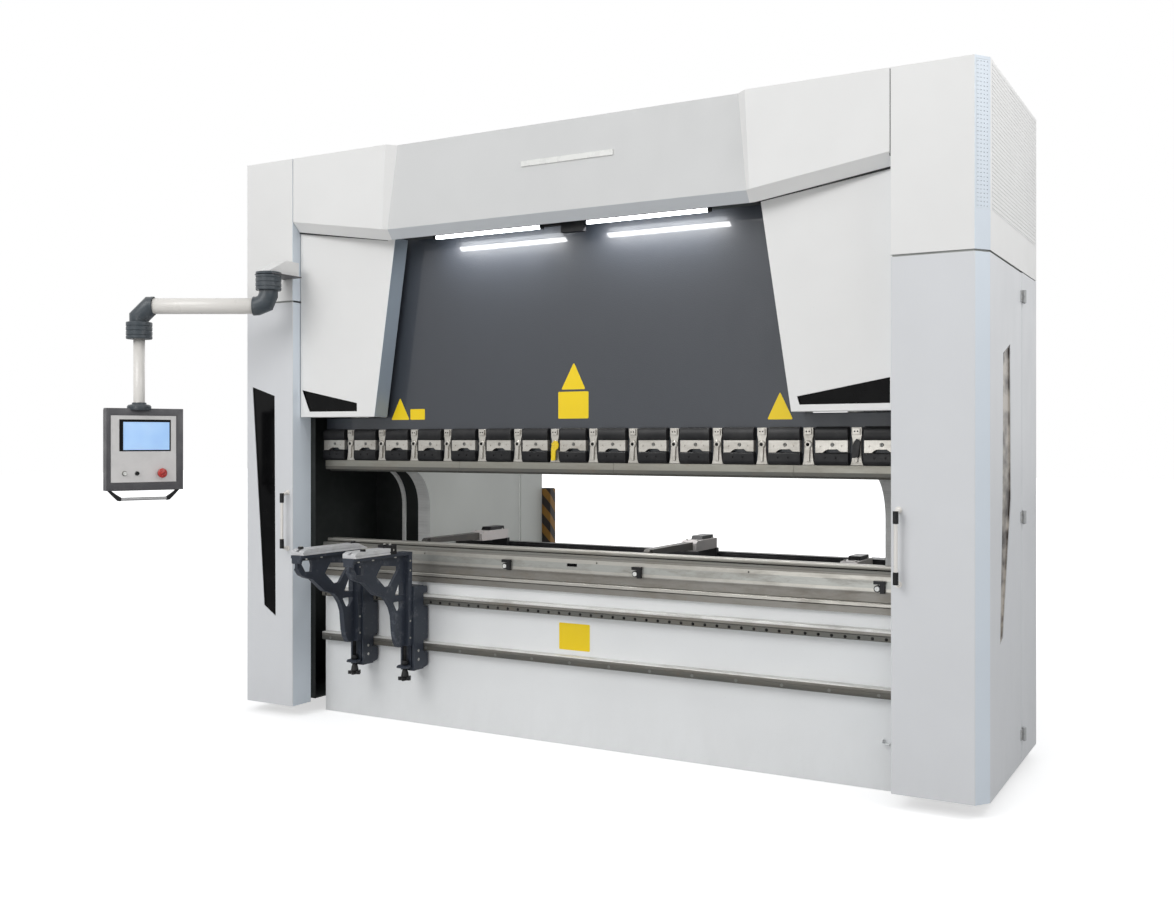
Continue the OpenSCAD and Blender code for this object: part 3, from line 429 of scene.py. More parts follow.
class Shape:
    """Closed solids that become one piece, drawn in the millimetres of this file."""

    def __init__(self):
        self.mesh = bmesh.new()
        self.paints = []
        self.cutter = None
        self.wall = 0

    def shell(self, points, faces, paint_name=None):
        verts = [self.mesh.verts.new(p) for p in points]
        if paint_name not in self.paints:
            self.paints.append(paint_name)
        for face in faces:
            made = self.mesh.faces.new([verts[i] for i in face])
            made.material_index = self.paints.index(paint_name)
            made.smooth = True
        return self

    def more(self, faces, paint_name):
        """More faces between the points drawn so far."""
        self.paints.append(paint_name)
        self.mesh.verts.ensure_lookup_table()
        for face in faces:
            made = self.mesh.faces.new([self.mesh.verts[i] for i in face])
            made.material_index = len(self.paints) - 1
            made.smooth = True

    def tint(self, paint_name, chosen):
        """Gives another paint to the faces whose middles are chosen."""
        self.paints.append(paint_name)
        for face in self.mesh.faces:
            if chosen(face.calc_center_median()):
                face.material_index = len(self.paints) - 1

    def box(self, x0, y0, z0, x1, y1, z1, paint_name=None):
        x0, x1 = sorted((x0, x1))
        return self.prism("z", oblong(x0, y0, x1, y1), z0, z1, paint_name)

    def block(self, corners):
        """A solid between the four corners of one face and the four of the face across it."""
        return self.shell(corners, [(3, 2, 1, 0), (4, 5, 6, 7), (0, 1, 5, 4), (1, 2, 6, 5),
                                    (2, 3, 7, 6), (3, 0, 4, 7)])

    def prism(self, axis, outline, start, end, paint_name=None):
        count = len(outline)
        points = [turned(axis, u, v, w) for w in (start, end) for u, v in outline]
        sides = [(i, (i + 1) % count, count + (i + 1) % count, count + i) for i in range(count)]
        caps = [tuple(reversed(range(count))), tuple(range(count, 2 * count))]
        return self.shell(points, sides + caps, paint_name)

    def rod(self, start, end, radius, paint_name=None, sides=24):
        along = Vector(end) - Vector(start)
        return self.lathe(start, along, [(radius, 0), (radius, along.length)], paint_name, sides)

    def pin(self, axis, start, level, radius, paint_name=None, sides=24):
        """A rod along the named axis, from its start to a level on that axis."""
        end = [level if name == axis else value for name, value in zip("xyz", start)]
        return self.rod(start, end, radius, paint_name, sides)

    def rings(self, points, sides, paint_name):
        """Skin over rings that have so many points each, closed at both ends."""
        faces = []
        for first in range(0, len(points) - sides, sides):
            for i in range(sides):
                a, b = first + i, first + (i + 1) % sides
                faces.append((a, b, b + sides, a + sides))
        faces.append(tuple(reversed(range(sides))))
        faces.append(tuple(range(len(points) - sides, len(points))))
        return self.shell(points, faces, paint_name)

    def lathe(self, foot, along, profile, paint_name=None, sides=32):
        """Turns (radius, height) points about an axis; the two ends are closed."""
        turn = Vector(along).to_track_quat("Z", "Y").to_matrix().to_4x4()
        turn.translation = Vector(foot)
        points = []
        for radius, height in profile:
            for i in range(sides):
                angle = 2 * math.pi * i / sides
                points.append(turn @ Vector((radius * math.cos(angle),
                                             radius * math.sin(angle), height)))
        return self.rings(points, sides, paint_name)

    def tube(self, path, radius, paint_name=None, sides=12):
        """Round bar along a path of points, mitred at its corners."""
        points = [Vector(p) for p in path]
        rings = []
        for i, point in enumerate(points):
            before = (point - points[max(i - 1, 0)]).normalized()
            after = (points[min(i + 1, len(points) - 1)] - point).normalized()
            along = (before + after).normalized() if i not in (0, len(points) - 1) else (
                after if i == 0 else before)
            if i == 0:
                side = along.orthogonal().normalized()
            else:
                side = (side - along * side.dot(along)).normalized()
            over = along.cross(side)
            stretch = 1 / max(0.5, before.dot(along)) if i not in (0, len(points) - 1) else 1
            rings.append([point + (side * math.cos(a) + over * math.sin(a)) * radius * stretch
                          for a in (2 * math.pi * k / sides for k in range(sides))])
        return self.rings([p for ring in rings for p in ring], sides, paint_name)

    def cut(self):
        """The shape that is taken away from this one."""
        if self.cutter is None:
            self.cutter = Shape()
        return self.cutter

    def moved(self, matrix):
        for shape in (self, self.cutter):
            if shape:
                bmesh.ops.transform(shape.mesh, matrix=matrix, verts=shape.mesh.verts)
        return self

    def as_object(self, name, paint_name):
        bmesh.ops.recalc_face_normals(self.mesh, faces=self.mesh.faces)
        data = bpy.data.meshes.new(name)
        self.mesh.to_mesh(data)
        self.mesh.free()
        for key in self.paints:
            data.materials.append(MAT[key or paint_name])
        made = bpy.data.objects.new(name, data)
        bpy.context.collection.objects.link(made)
        if self.wall:
            change = made.modifiers.new("wall", "SOLIDIFY")
            change.thickness = self.wall
            change.offset = -1
            change.use_even_offset = True
            bake(made)
        if self.cutter:
            knife = self.cutter.as_object(name + "_knife", paint_name)
            change = made.modifiers.new("cut", "BOOLEAN")
            change.object = knife
            change.solver = "EXACT"
            change.use_self = True
            bake(made)
            bpy.data.objects.remove(knife)
        return made


def bake(made):
    """Puts the object's modifiers into its mesh."""
    graph = bpy.context.evaluated_depsgraph_get()
    data = bpy.data.meshes.new_from_object(made.evaluated_get(graph))
    made.modifiers.clear()
    old, made.data = made.data, data
    bpy.data.meshes.remove(old)
    for face in data.polygons:
        face.use_smooth = True


def soften(made, width, segments=2):
    """Rounds the edges of an object whose mesh is in metres."""
    change = made.modifiers.new("edges", "BEVEL")
    change.width = width * 0.001
    change.segments = segments
    change.limit_method = "ANGLE"
    change.angle_limit = math.radians(38)
    change.harden_normals = True


def settle(made, body, replaces):
    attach(made, body)
    if replaces:
        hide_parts(*replaces)
    return made


def piece(name, shape, body, paint_name, edge=1.0, replaces=(), segments=2):
    """Finishes a Shape as a piece that moves with a body."""
    made = shape.as_object(name, paint_name)
    made.data.transform(TO_ROOM)
    if edge:
        soften(made, edge, segments)
    return settle(made, body, replaces)


def repeat_tree():
    """Geometry Nodes: copies of a unit in columns and rows, made real, in one material."""
    tree = bpy.data.node_groups.new("repeated_units", "GeometryNodeTree")
    for label, kind in (("Unit", "NodeSocketObject"), ("Columns", "NodeSocketInt"),
                        ("Rows", "NodeSocketInt"), ("Column Step", "NodeSocketVector"),
                        ("Row Step", "NodeSocketVector"), ("Finish", "NodeSocketMaterial")):
        tree.interface.new_socket(label, in_out="INPUT", socket_type=kind)
    tree.interface.new_socket("Geometry", in_out="OUTPUT", socket_type="NodeSocketGeometry")
    given = tree.nodes.new("NodeGroupInput").outputs
    index = add_node(tree, "GeometryNodeInputIndex").outputs[0]
    column = math_node(tree, "MODULO", index, given["Columns"])
    row = math_node(tree, "FLOOR", math_node(tree, "DIVIDE", index, given["Columns"]))
    across = add_node(tree, "ShaderNodeVectorMath", {0: given["Column Step"], "Scale": column},
                      operation="SCALE")
    up = add_node(tree, "ShaderNodeVectorMath", {0: given["Row Step"], "Scale": row},
                  operation="SCALE")
    place = add_node(tree, "ShaderNodeVectorMath", {0: across.outputs[0], 1: up.outputs[0]})
    count = math_node(tree, "MULTIPLY", given["Columns"], given["Rows"])
    points = add_node(tree, "GeometryNodePoints", {"Count": count,
                      "Position": place.outputs[0]})
    unit = add_node(tree, "GeometryNodeObjectInfo", {"Object": given["Unit"]})
    copies = add_node(tree, "GeometryNodeInstanceOnPoints", {"Points": points.outputs[0],
                      "Instance": unit.outputs["Geometry"]})
    real = add_node(tree, "GeometryNodeRealizeInstances", {0: copies.outputs[0]})
    painted = add_node(tree, "GeometryNodeSetMaterial", {"Geometry": real.outputs[0],
                       "Material": given["Finish"]})
    tree.links.new(painted.outputs[0], tree.nodes.new("NodeGroupOutput").inputs[0])
    return tree


REPEAT = repeat_tree()


def repeated(name, shape, columns, step, body, paint_name, rows=1, row_step=(0, 0, 0),
             edge=0.0, replaces=()):
    """A piece made of copies of one small shape, in columns and rows."""
    unit = shape.as_object(name + "_unit", paint_name)
    if edge:
        soften(unit, edge * 1000, 1)
    host = bpy.data.objects.new(name, bpy.data.meshes.new(name))
    bpy.context.collection.objects.link(host)
    change = host.modifiers.new("repeat", "NODES")
    change.node_group = REPEAT
    keys = {s.name: s.identifier for s in REPEAT.interface.items_tree if s.in_out == "INPUT"}
    for label, value in (("Unit", unit), ("Columns", columns), ("Rows", rows),
                         ("Column Step", step), ("Row Step", row_step),
                         ("Finish", MAT[paint_name])):
        change[keys[label]] = value
    bake(host)
    host.data.transform(TO_ROOM)
    bpy.data.objects.remove(unit)
    return settle(host, body, replaces)


def rounded_path(corners, radius, steps=4):
    """A path through the corners with its bends rounded."""
    path = [Vector(corners[0])]
    for before, here, after in zip(corners, corners[1:], corners[2:]):
        here, into, out = Vector(here), Vector(before), Vector(after)
        back, ahead = (into - here).normalized(), (out - here).normalized()
        reach = radius / max(0.2, math.tan(back.angle(ahead) / 2))
        start, end = here + back * reach, here + ahead * reach
        for i in range(steps + 1):
            share = i / steps
            path.append((1 - share) ** 2 * start + 2 * share * (1 - share) * here +
                        share ** 2 * end)
    path.append(Vector(corners[-1]))
    return path


def rounded_loop(corners, radius, steps=4):
    """A closed outline with its corners rounded."""
    first = [(a + b) / 2 for a, b in zip(corners[-1], corners[0])]
    return [tuple(p) for p in rounded_path([first] + corners + [first], radius, steps)[:-1]]


def bent_sheet(corners, thickness, radius=4):
    """Outline of a folded sheet: the corners are its outer face, its wall is to the left."""
    path = rounded_path([(x, y) for x, y in corners], radius)
    inner = []
    for i, here in enumerate(path):
        into = (here - path[i - 1]).normalized() if i else (path[1] - here).normalized()
        out = (path[i + 1] - here).normalized() if i + 1 < len(path) else into
        along = (into + out).normalized()
        left = Vector((-along.y, along.x))
        inner.append(here + left * thickness / max(0.5, along.dot(into)))
    return [tuple(p) for p in path + inner[::-1]]


# ---------------------------------------------------------------- the machine's own sizes
HOOD, CAP, BED, RAM = spot("hood"), spot("tower_caps"), spot("bed_plate"), spot("ram_plate")
DOOR, BACK, FRAME = spot("door_right"), spot("tower_backs"), spot("side_frames")
TANK = spot("power_pack")
IN_FACE = FRAME.x1 - 80
TABLE, DIE, PUNCH = spot("die_holder"), spot("bottom_die"), spot("punch")
IN, OUT = HOOD.x1, CAP.x1
SHEET = 3
BEVEL_W, BEVEL_D = 43, 62
HINGE_R = 8.5
HINGE_AXIS = DOOR.y1 - HINGE_R
DOOR_END = HINGE_AXIS - 4
CLAMP_STEP, CLAMP_HALF, CLAMP_COUNT = 200, 69, 15
CLAMP_LOW = RAM.z0
BOTH = (1, -1)
SIDES = ((1, "right"), (-1, "left"))
TOOL_Y, TOOL_LENGTH, HAIR_GAP = 250, 835, 0.8
LAMP_START, LAMP_END = 105, 713


def mirrored(side, plan):
    """A plan of the right side, or the same plan turned over for the left one."""
    return [(side * x, y) for x, y in plan]


def ring_of(count, radius, first=0):
    """Points spaced evenly on a circle, as offsets from its middle."""
    angles = [math.radians(first + 360 * i / count) for i in range(count)]
    return [(radius * math.cos(angle), radius * math.sin(angle)) for angle in angles]


def once(side, node):
    """The CAD node that two mirrored pieces stand for, named by the right one only."""
    return [node] if side > 0 else []


def studio():
    """Pale floor, white surroundings, large soft lamps and the glow under the hood."""
    scene = bpy.context.scene
    scene.view_settings.view_transform = "Standard"
    world = bpy.data.worlds.new("studio")
    world.use_nodes = True
    tree = world.node_tree
    tree.nodes.clear()
    path = add_node(tree, "ShaderNodeLightPath").outputs
    seen = math_node(tree, "MAXIMUM", path["Is Camera Ray"], math_node(tree, "MAXIMUM",
                     path["Is Glossy Ray"], path["Is Transmission Ray"]))
    ambient = add_node(tree, "ShaderNodeBackground", {"Color": (0.96, 0.98, 1, 1),
                       "Strength": 0.57}).outputs[0]
    white = add_node(tree, "ShaderNodeBackground", {"Color": WHITE, "Strength": 1.0}).outputs[0]
    mixed = add_node(tree, "ShaderNodeMixShader", {0: seen, 1: ambient, 2: white}).outputs[0]
    add_node(tree, "ShaderNodeOutputWorld", {"Surface": mixed})
    scene.world = world
    soft_lamp("key_lamp", (-2.0, -7.8, 6.0), (0.2, -0.9, 1.2), 5.0, 226)
    soft_lamp("low_lamp", (-0.4, -7.4, 0.3), (0, 0, 0.5), 1.8, 40)
    soft_lamp("side_lamp", (3.9, -1.5, 3.9), (1.84, -0.5, 2.2), 1.6, 38)
    for side, name in SIDES:
        x = side * 0.409
        soft_lamp("tube_lamp_" + name, (x, FRONT + 0.118, 2.31), (x, FRONT + 0.24, 2.15),
                  0.6, 2.2, 0.03)
    soft_lamp("inner_lamp", (0, -0.42, 1.62), (0, 0.3, 0.9), 0.9, 12)
    soft_lamp("rear_lamp", (-1.0, 7.5, 5.5), (0, 0.2, 1.4), 5.0, 120)
    floor = bpy.data.meshes.new("floor")
    reach = 40
    floor.from_pydata([(-reach, -reach, 0), (reach, -reach, 0), (reach, reach, 0),
                       (-reach, reach, 0)], [], [(0, 1, 2, 3)])
    floor = bpy.data.objects.new("floor", floor)
    bpy.context.collection.objects.link(floor)
    floor.location.z = CAD_BOX[0][2] - 0.0005
    made = bpy.data.materials.new("floor_pale")
    made.use_nodes = True
    tree = made.node_tree
    where = object_space(tree)
    grain = noise(tree, where, 3.0, 4)
    mottled = mix_colour(tree, grain, (0.60, 0.60, 0.60, 1), (0.64, 0.64, 0.64, 1))
    path = add_node(tree, "ShaderNodeLightPath").outputs
    away = add_node(tree, "ShaderNodeVectorMath", {0: where}, operation="LENGTH").outputs["Value"]
    lift = ramp(tree, away, 2.0, 9.0, 0.60, 1.0)
    fill(tree, tree.nodes["Principled BSDF"], {
        "Base Color": mottled, "Roughness": 0.9, "Specular IOR Level": 0.0,
        "Emission Color": WHITE,
        "Emission Strength": math_node(tree, "MULTIPLY", path["Is Camera Ray"], lift)})
    floor.data.materials.append(made)


# ---------------------------------------------------------------- hood and covers
def hood():
    top, edge, low = HOOD.z1, HOOD.z0 + 47, HOOD.z0 + 2
    rise = 84
    mid, wing = 912, IN - 3
    rows = [
        [(mid - 47, 38, top), (mid - 3, 0, top), (wing, 0, top)],
        [(mid - 3, 17, edge), (mid + 16, 0, edge), (wing, 0, edge + rise)],
        [(mid - 3, 52, low), (mid + 22, 48, low), (wing, 48, low + rise)]]
    points = []
    for row in rows:
        left = [(-x, y, z) for x, y, z in reversed(row)]
        points += left + row
    points += [(-wing, 400, top), (wing, 400, top)]
    skin = Shape()
    skin.wall = SHEET
    skin.shell(points, [(r * 6 + c + 6, r * 6 + c + 7, r * 6 + c + 1, r * 6 + c)
                        for r in range(2) for c in range(5) if c != 2] +
               [(0, 1, 2, 3, 4, 5, 19, 18)])
    # The middle panel and its fold take the darker copy of the cover white: painted shade.
    skin.more([(r * 6 + 8, r * 6 + 9, r * 6 + 3, r * 6 + 2) for r in range(2)], "cover_mid_painted_shade")
    # The slope under the middle panel's fold takes the darker underside copy: painted shade.
    skin.tint("hood_low_painted_shade", lambda c: abs(c.x) < mid and c.y > 16 and c.z < edge)
    piece("hood_skin", skin, "machine", "cover", 2.2, ["hood"], 3)

    # Dark sheets inside the hood, with the lamp brackets: painted shade.
    inside = Shape()
    plate = low + 20
    inside.box(-mid + 12, 56, plate, mid - 12, 205, plate + 3)
    inside.box(-mid + 12, 205, plate, mid - 12, 208, plate + 90)
    for side in BOTH:
        for x in (120, 400, 690):
            inside.box(side * x - 1.5, 44, plate + 3, side * x + 1.5, 204, plate + 40)
    for x in (-LAMP_END, -LAMP_START, LAMP_START, LAMP_END):
        inside.box(x - 9, 106, plate - 6, x + 9, 134, plate)
    piece("hood_lining", inside, "machine", "painted_shade_sheet", 0.8)

    strip = Shape()
    strip.box(-163, 22, edge + 215, 300, 31, edge + 239)
    piece("hood_strip", strip, "machine", "white", 1.0)
    # Black strips in the gap by the cap and under the wing folds: painted shade.
    seam = Shape()
    seam.box(IN - 5, 5, low + rise + 30, IN - 0.2, 22, top - 6)
    for side in BOTH:
        x0, x1 = side * (mid + 24), side * (wing - 1)
        ends = [(x0, low), (x1, low + rise), (x1, low + rise - 7), (x0, low - 1.5)]
        seam.prism("y", ends if side < 0 else ends[::-1], 47.5, 57)
    piece("hood_seams", seam, "machine", "rubber_and_painted_shade", 0)


def lamps():
    tubes = spot("led_tubes")
    centre_z, radius = tubes.z1 - 13, 9.5
    y = 120
    glow, fittings = Shape(), Shape()
    for side in BOTH:
        near, far = side * LAMP_START, side * tubes.x1
        glow.pin("x", (near + side * 16, y, centre_z), far - side * 16, radius - 1, sides=20)
        for x in (near, far - side * 16):
            fittings.pin("x", (x, y, centre_z), x + side * 16, radius, sides=20)
            fittings.box(x, y - 8, centre_z, x + side * 16, y + 8, centre_z + 14)
    fittings.box(-7, y - 15, tubes.z0 + 1, 107, y + 15, centre_z + 14)
    fittings.pin("x", (-104, y, centre_z + 3), -6, 6, sides=16)
    piece("lamp_tubes", glow, "machine", "glow", 0, ["led_tubes"])
    piece("lamp_fittings", fittings, "machine", "black", 1.2)


def covers():
    bottom, front_low, front_high = 1496, 1066, 936
    top_in, top_out, wall = 2354, 2452, IN - 3
    front, fold, back_edge = 58, 111, 206
    notches = {1: [(1090, 1553), (1100, 1520), (wall - 14, 1520), (wall - 14, 1618)],
               -1: [(1163, 1560), (1163, 1520), (wall - 52, 1520), (wall - 9, 1628)]}
    for side, name in SIDES:
        skin = Shape()
        skin.wall = SHEET
        points = [(front_low, fold, bottom), (wall, front, bottom), (wall, front, top_out),
                  (front_high, fold, top_in), (front_low, back_edge, bottom),
                  (front_high, back_edge, top_in), (wall, back_edge, bottom)]
        points = [(side * x, y, z) for x, y, z in points]
        faces = [(0, 1, 2, 3), (4, 0, 3, 5), (0, 4, 6, 1)]
        if side < 0:
            faces = [tuple(reversed(f)) for f in faces]
        skin.shell(points, faces)
        skin.tint("bevel_shade", lambda c: abs(c.x) < front_low - 20)
        skin.cut().prism("y", [(side * x, z) for x, z in notches[side]], 30, 150)
        piece("cylinder_cover_" + name, skin, "machine", "cover", 2.0,
              once(side, "cylinder_covers"), 3)
        inset = Shape()
        x0, x1 = notches[side][1][0] - 12, wall - 3
        slope = (fold - front) / (wall - front_low)
        back = [(side * x, fold - (x - front_low) * slope + SHEET + 2, z)
                for x, z in ((x0, 1508), (x1, 1508), (x1, 1648), (x0, 1588))]
        inset.block(back + [(x, y + 4, z) for x, y, z in back])
        piece("cover_inset_" + name, inset, "machine", "window", 0.6,
              once(side, "cover_insets"))


def perforated(name, corner, across, up, columns, rows, pitch, hole, side, look="cover"):
    """Sheet made of small square cells, each with a round hole, on a plane."""
    across, up = Vector(across).normalized(), Vector(up).normalized()
    deep = across.cross(up).normalized() * 2.2
    corner = Vector(corner)
    if deep.x * side > 0:
        deep = -deep
    half = pitch / 2
    middle = corner + across * half + up * half
    square = [(-1, -1), (0, -1), (1, -1), (1, 0), (1, 1), (0, 1), (-1, 1), (-1, 0)]
    outer = [middle + across * u * half + up * v * half for u, v in square]
    round_ = [middle + across * u / math.hypot(u, v) * hole + up * v / math.hypot(u, v) * hole
              for u, v in square]
    rings = outer + round_ + [p + deep for p in outer] + [p + deep for p in round_]
    faces = []
    for i in range(8):
        j = (i + 1) % 8
        faces += [(i, j, 8 + j, 8 + i), (8 + i, 8 + j, 24 + j, 24 + i),
                  (16 + j, 16 + i, 24 + i, 24 + j)]
    cell = Shape()
    cell.shell(rings, faces)
    made = repeated(name, cell, columns, tuple(across * pitch), "machine", look,
                    rows=rows, row_step=tuple(up * pitch))
    for face in made.data.polygons:
        face.use_smooth = False


def on_bevel(middle):
    """The slanted corner faces of the towers and their sides towards the ram, which take a bluish copy
    of the white: painted shade.
    """
    x, y = abs(middle.x), middle.y
    return (x > OUT - BEVEL_W + 4 and 4 < y < BEVEL_D - 4) or (x < IN + 5 and y > 6)


def tower_caps():
    z0, z1, depth = CAP.z0, CAP.z1, CAP.y1
    plan = [(IN, 0), (OUT - BEVEL_W, 0), (OUT, BEVEL_D), (OUT, depth), (IN, depth)]
    pitch, rows, columns = 15, 36, 63
    hole_z, hole_y = z1 - 13 - rows * pitch, depth - 15 - columns * pitch
    slope = Vector((BEVEL_W, BEVEL_D, 0))
    slant = slope.normalized()
    few = 4
    start = Vector((OUT - BEVEL_W, 0, hole_z)) + slant * (slope.length - few * pitch) / 2
    for side, name in SIDES:
        skin = Shape()
        skin.wall = SHEET
        count = len(plan)
        points = [(side * x, y, z) for z in (z0, z1) for x, y in plan]
        faces = [(i, (i + 1) % count, count + (i + 1) % count, count + i) for i in range(count)]
        faces.append(tuple(range(count, 2 * count)))
        if side < 0:
            faces = [tuple(reversed(f)) for f in faces]
        skin.shell(points, faces)
        # Chamfer and inner side faces take the bluish copy of the white: painted shade.
        skin.tint("bevel", on_bevel)
        skin.cut().box(side * (OUT - 9), hole_y, hole_z, side * (OUT + 9),
                       hole_y + columns * pitch, hole_z + rows * pitch)
        inward = Vector((-slant.y, slant.x, 0))
        ends = [start, start + slant * few * pitch]
        knife = [p + inward * d for p in ends for d in (-8, 8)]
        knife = [Vector((side * p.x, p.y, z)) for z in (hole_z, hole_z + rows * pitch)
                 for p in (knife[0], knife[2], knife[3], knife[1])]
        skin.cut().block(knife)
        piece("tower_cap_" + name, skin, "machine", "cover", 3.0,
              once(side, "tower_caps"), 3)
        perforated("cap_grille_" + name, (side * OUT, hole_y, hole_z), (0, 1, 0), (0, 0, 1),
                   columns, rows, pitch, 3.5, side)
        # The corner grille takes the bluish copy of the white too: painted shade.
        perforated("cap_corner_grille_" + name, (side * start.x, start.y, hole_z),
                   (side * slant.x, slant.y, 0), (0, 0, 1), few, rows, pitch, 2.2, side, "bevel")
        liner = Shape()
        liner.box(side * (OUT - 34), BEVEL_D, hole_z - 20, side * (OUT - 30), depth - 8, z1 - 8)
        piece("cap_filter_" + name, liner, "machine", "filter", 0)
        # Return lip behind the seam, in the grey frame paint rather than the cap's white: partly
        # painted shade.
        lip = Shape()
        inner = mirrored(side, ((IN + 5, 8), (OUT - BEVEL_W - 4, 8), (OUT - 8, BEVEL_D + 4),
                                (OUT - 8, 690)))
        lip.prism("z", bent_sheet(inner, 2 * side, 5), z0 - 30, z0 + 20)
        piece("cap_lip_" + name, lip, "machine", "frame", 0)
        # Dark sheets inside the tower: painted shade.
        inside = Shape()
        room = mirrored(side, ((IN + 8, 172), (OUT - 26, 172), (OUT - 26, depth - 14),
                               (FRAME.x1 + 12, depth - 14)))
        foot = DOOR.z0 + 8
        inside.prism("z", bent_sheet(room, 2 * side, 5), foot, z0 - 34)
        inside.box(room[0][0], 172, foot, room[1][0], depth - 14, foot + 4)
        piece("tower_lining_" + name, inside, "machine", "painted_shade_sheet", 0)


def tower_backs():
    """Fixed side strip and rear sheet of each tower, with louvres."""
    for side, name in SIDES:
        skin = Shape()
        plan = [(OUT - 22, BACK.y0), (OUT, BACK.y0), (OUT, BACK.y1), (FRAME.x1, BACK.y1)]
        outline = bent_sheet(mirrored(side, plan), SHEET * side, 4)
        skin.prism("z", outline, BACK.z0, CAP.z0 - 4)
        piece("tower_back_" + name, skin, "machine", "door", 0.8,
              once(side, "tower_backs"))
    slat = Shape()
    slat.prism("x", [(BACK.y1 - 6, 470), (BACK.y1 + 7, 452), (BACK.y1 + 9, 452),
                     (BACK.y1 - 1, 474)], -OUT + 70, -OUT + 350)
    repeated("tower_louvres", slat, 1, (0, 0, 0), "machine", "door", rows=14,
             row_step=(0, 0, 26))


# ---------------------------------------------------------------- tower doors
HINGE_X, HINGE_HALF = OUT + 9, 26
HINGE_LEVELS = (173, 1063, CAP.z0 - 104)


def leaf(shape, side, z, y, front):
    """A hinge leaf with its two screws, from y towards the front or the back."""
    reach = -26 if front else 26
    y0, y1 = sorted((y, y + reach))
    shape.box(side * OUT, y0, z - 22, side * (OUT + 4), y1, z + 22, "hinge")
    for dz in (-13, 13):
        shape.pin("x", (side * (OUT + 3.5), y + reach * 0.6, z + dz), side * (OUT + 6), 5, "screw",
                  16)


def knuckles(shape, side):
    for z in HINGE_LEVELS:
        shape.pin("z", (side * HINGE_X, HINGE_AXIS, z + 0.6), z + HINGE_HALF, HINGE_R, "hinge", 20)
        leaf(shape, side, z, HINGE_AXIS - HINGE_R - 1, True)


def hinges():
    """The fixed halves, on the towers' side strips."""
    for side, name in SIDES:
        fixed = Shape()
        for z in HINGE_LEVELS:
            fixed.pin("z", (side * HINGE_X, HINGE_AXIS, z - HINGE_HALF), z - 0.6, HINGE_R, "hinge",
                      20)
            fixed.pin("z", (side * HINGE_X, HINGE_AXIS, z - HINGE_HALF - 3), z - HINGE_HALF, 5,
                      "hinge", 16)
            leaf(fixed, side, z, HINGE_AXIS + HINGE_R + 1, False)
        piece("tower_hinges_" + name, fixed, "machine", "hinge", 0.8,
              once(side, "door_hinges"))


def doors():
    plan = [(IN + 1, 132), (IN + 1, 0), (OUT - BEVEL_W, 0), (OUT, BEVEL_D), (OUT, DOOR_END),
            (OUT - 22, DOOR_END)]
    z0, z1 = DOOR.z0, DOOR.z1
    front = [(79, 1648), (230, 1600), (237, 497), (160, 547)]
    flank = [(302, 1712), (446, 1756), (464, 1150), (300, 622), (243, 605), (290, 1150)]
    for side, name in SIDES:
        skin = Shape()
        outline = bent_sheet(mirrored(side, plan), SHEET * side, 5)
        skin.prism("z", outline, z0, z1)
        # Chamfer and inner side faces take the bluish copy of the white: painted shade.
        skin.tint("bevel", on_bevel)
        for z in (z0 + 1, z1 - 4):
            hem = [(IN + 4, 3), (OUT - BEVEL_W - 1, 3), (OUT - 3, BEVEL_D + 1), (OUT - 3, 680),
                   (OUT - 30, 680), (OUT - 30, BEVEL_D + 16), (OUT - BEVEL_W - 14, 30),
                   (IN + 4, 30)]
            skin.prism("z", mirrored(side, hem), z, z + 3)
        if side < 0:
            skin.cut().prism("y", [(-OUT + x, z) for x, z in front], -20, 12)
        else:
            skin.cut().prism("x", flank, OUT - 12, OUT + 20)
        knuckles(skin, side)
        body = "door_" + name
        piece(body + "_skin", skin, body, "door", 1.2, [body])
    pane = Shape()
    pane.prism("y", [(-OUT + 66, 1668), (-OUT + 244, 1614), (-OUT + 251, 470), (-OUT + 150, 534)],
               SHEET + 0.3, SHEET + 6)
    pane.cut().prism("y", [(-OUT + 86, 1640), (-OUT + 224, 1596), (-OUT + 230, 508),
                           (-OUT + 167, 552)], SHEET - 2, SHEET + 3)
    piece("left_window", pane, "door_left", "window", 0.8, ["door_left_window"])
    pane = Shape()
    pane.prism("x", [(290, 1722), (460, 1774), (478, 1146), (308, 600), (228, 588), (278, 1152)],
               OUT - SHEET - 6, OUT - SHEET - 0.3)
    pane.cut().prism("x", [(308, 1702), (440, 1742), (458, 1152), (298, 634), (250, 614),
                           (296, 1148)], OUT - SHEET - 3, OUT)
    # The right window's bands are a painted reflection.
    piece("right_window", pane, "door_right", "smoked_with_painted_reflection", 0.8,
          ["door_right_window"])


def door_handles():
    x = IN + 31
    for side, name in SIDES:
        grip = Shape()
        for z, tilt in ((850, 10), (1108, -10)):
            grip.tube(rounded_path([(side * x, -1, z - tilt), (side * x, -24, z - tilt * 0.6),
                                    (side * x, -42, z + tilt * 0.4)], 12), 8, "tube", 16)
            grip.pin("y", (side * x, 0, z - tilt), -5, 13, "tube", 20)
            out = 26 if z > 1000 else -26
            grip.pin("z", (side * x, -42, z + out * 0.3), z - out * 1.5, 10.5, "black", 20)
        grip.pin("z", (side * x, -42, 868), 1092, 7.2, "tube", 20)
        piece("handle_" + name, grip, "door_" + name, "black", 0.8,
              ["door_" + name + "_handle"])


# ---------------------------------------------------------------- ram and its clamps
def washer_bolt(x, y, z):
    """A bolt head on its washer, seen from behind."""
    bolt = Shape()
    bolt.pin("y", (x, y, z), y + 5, 17)
    bolt.pin("y", (x, y + 5, z), y + 17, 13, sides=16)
    return bolt


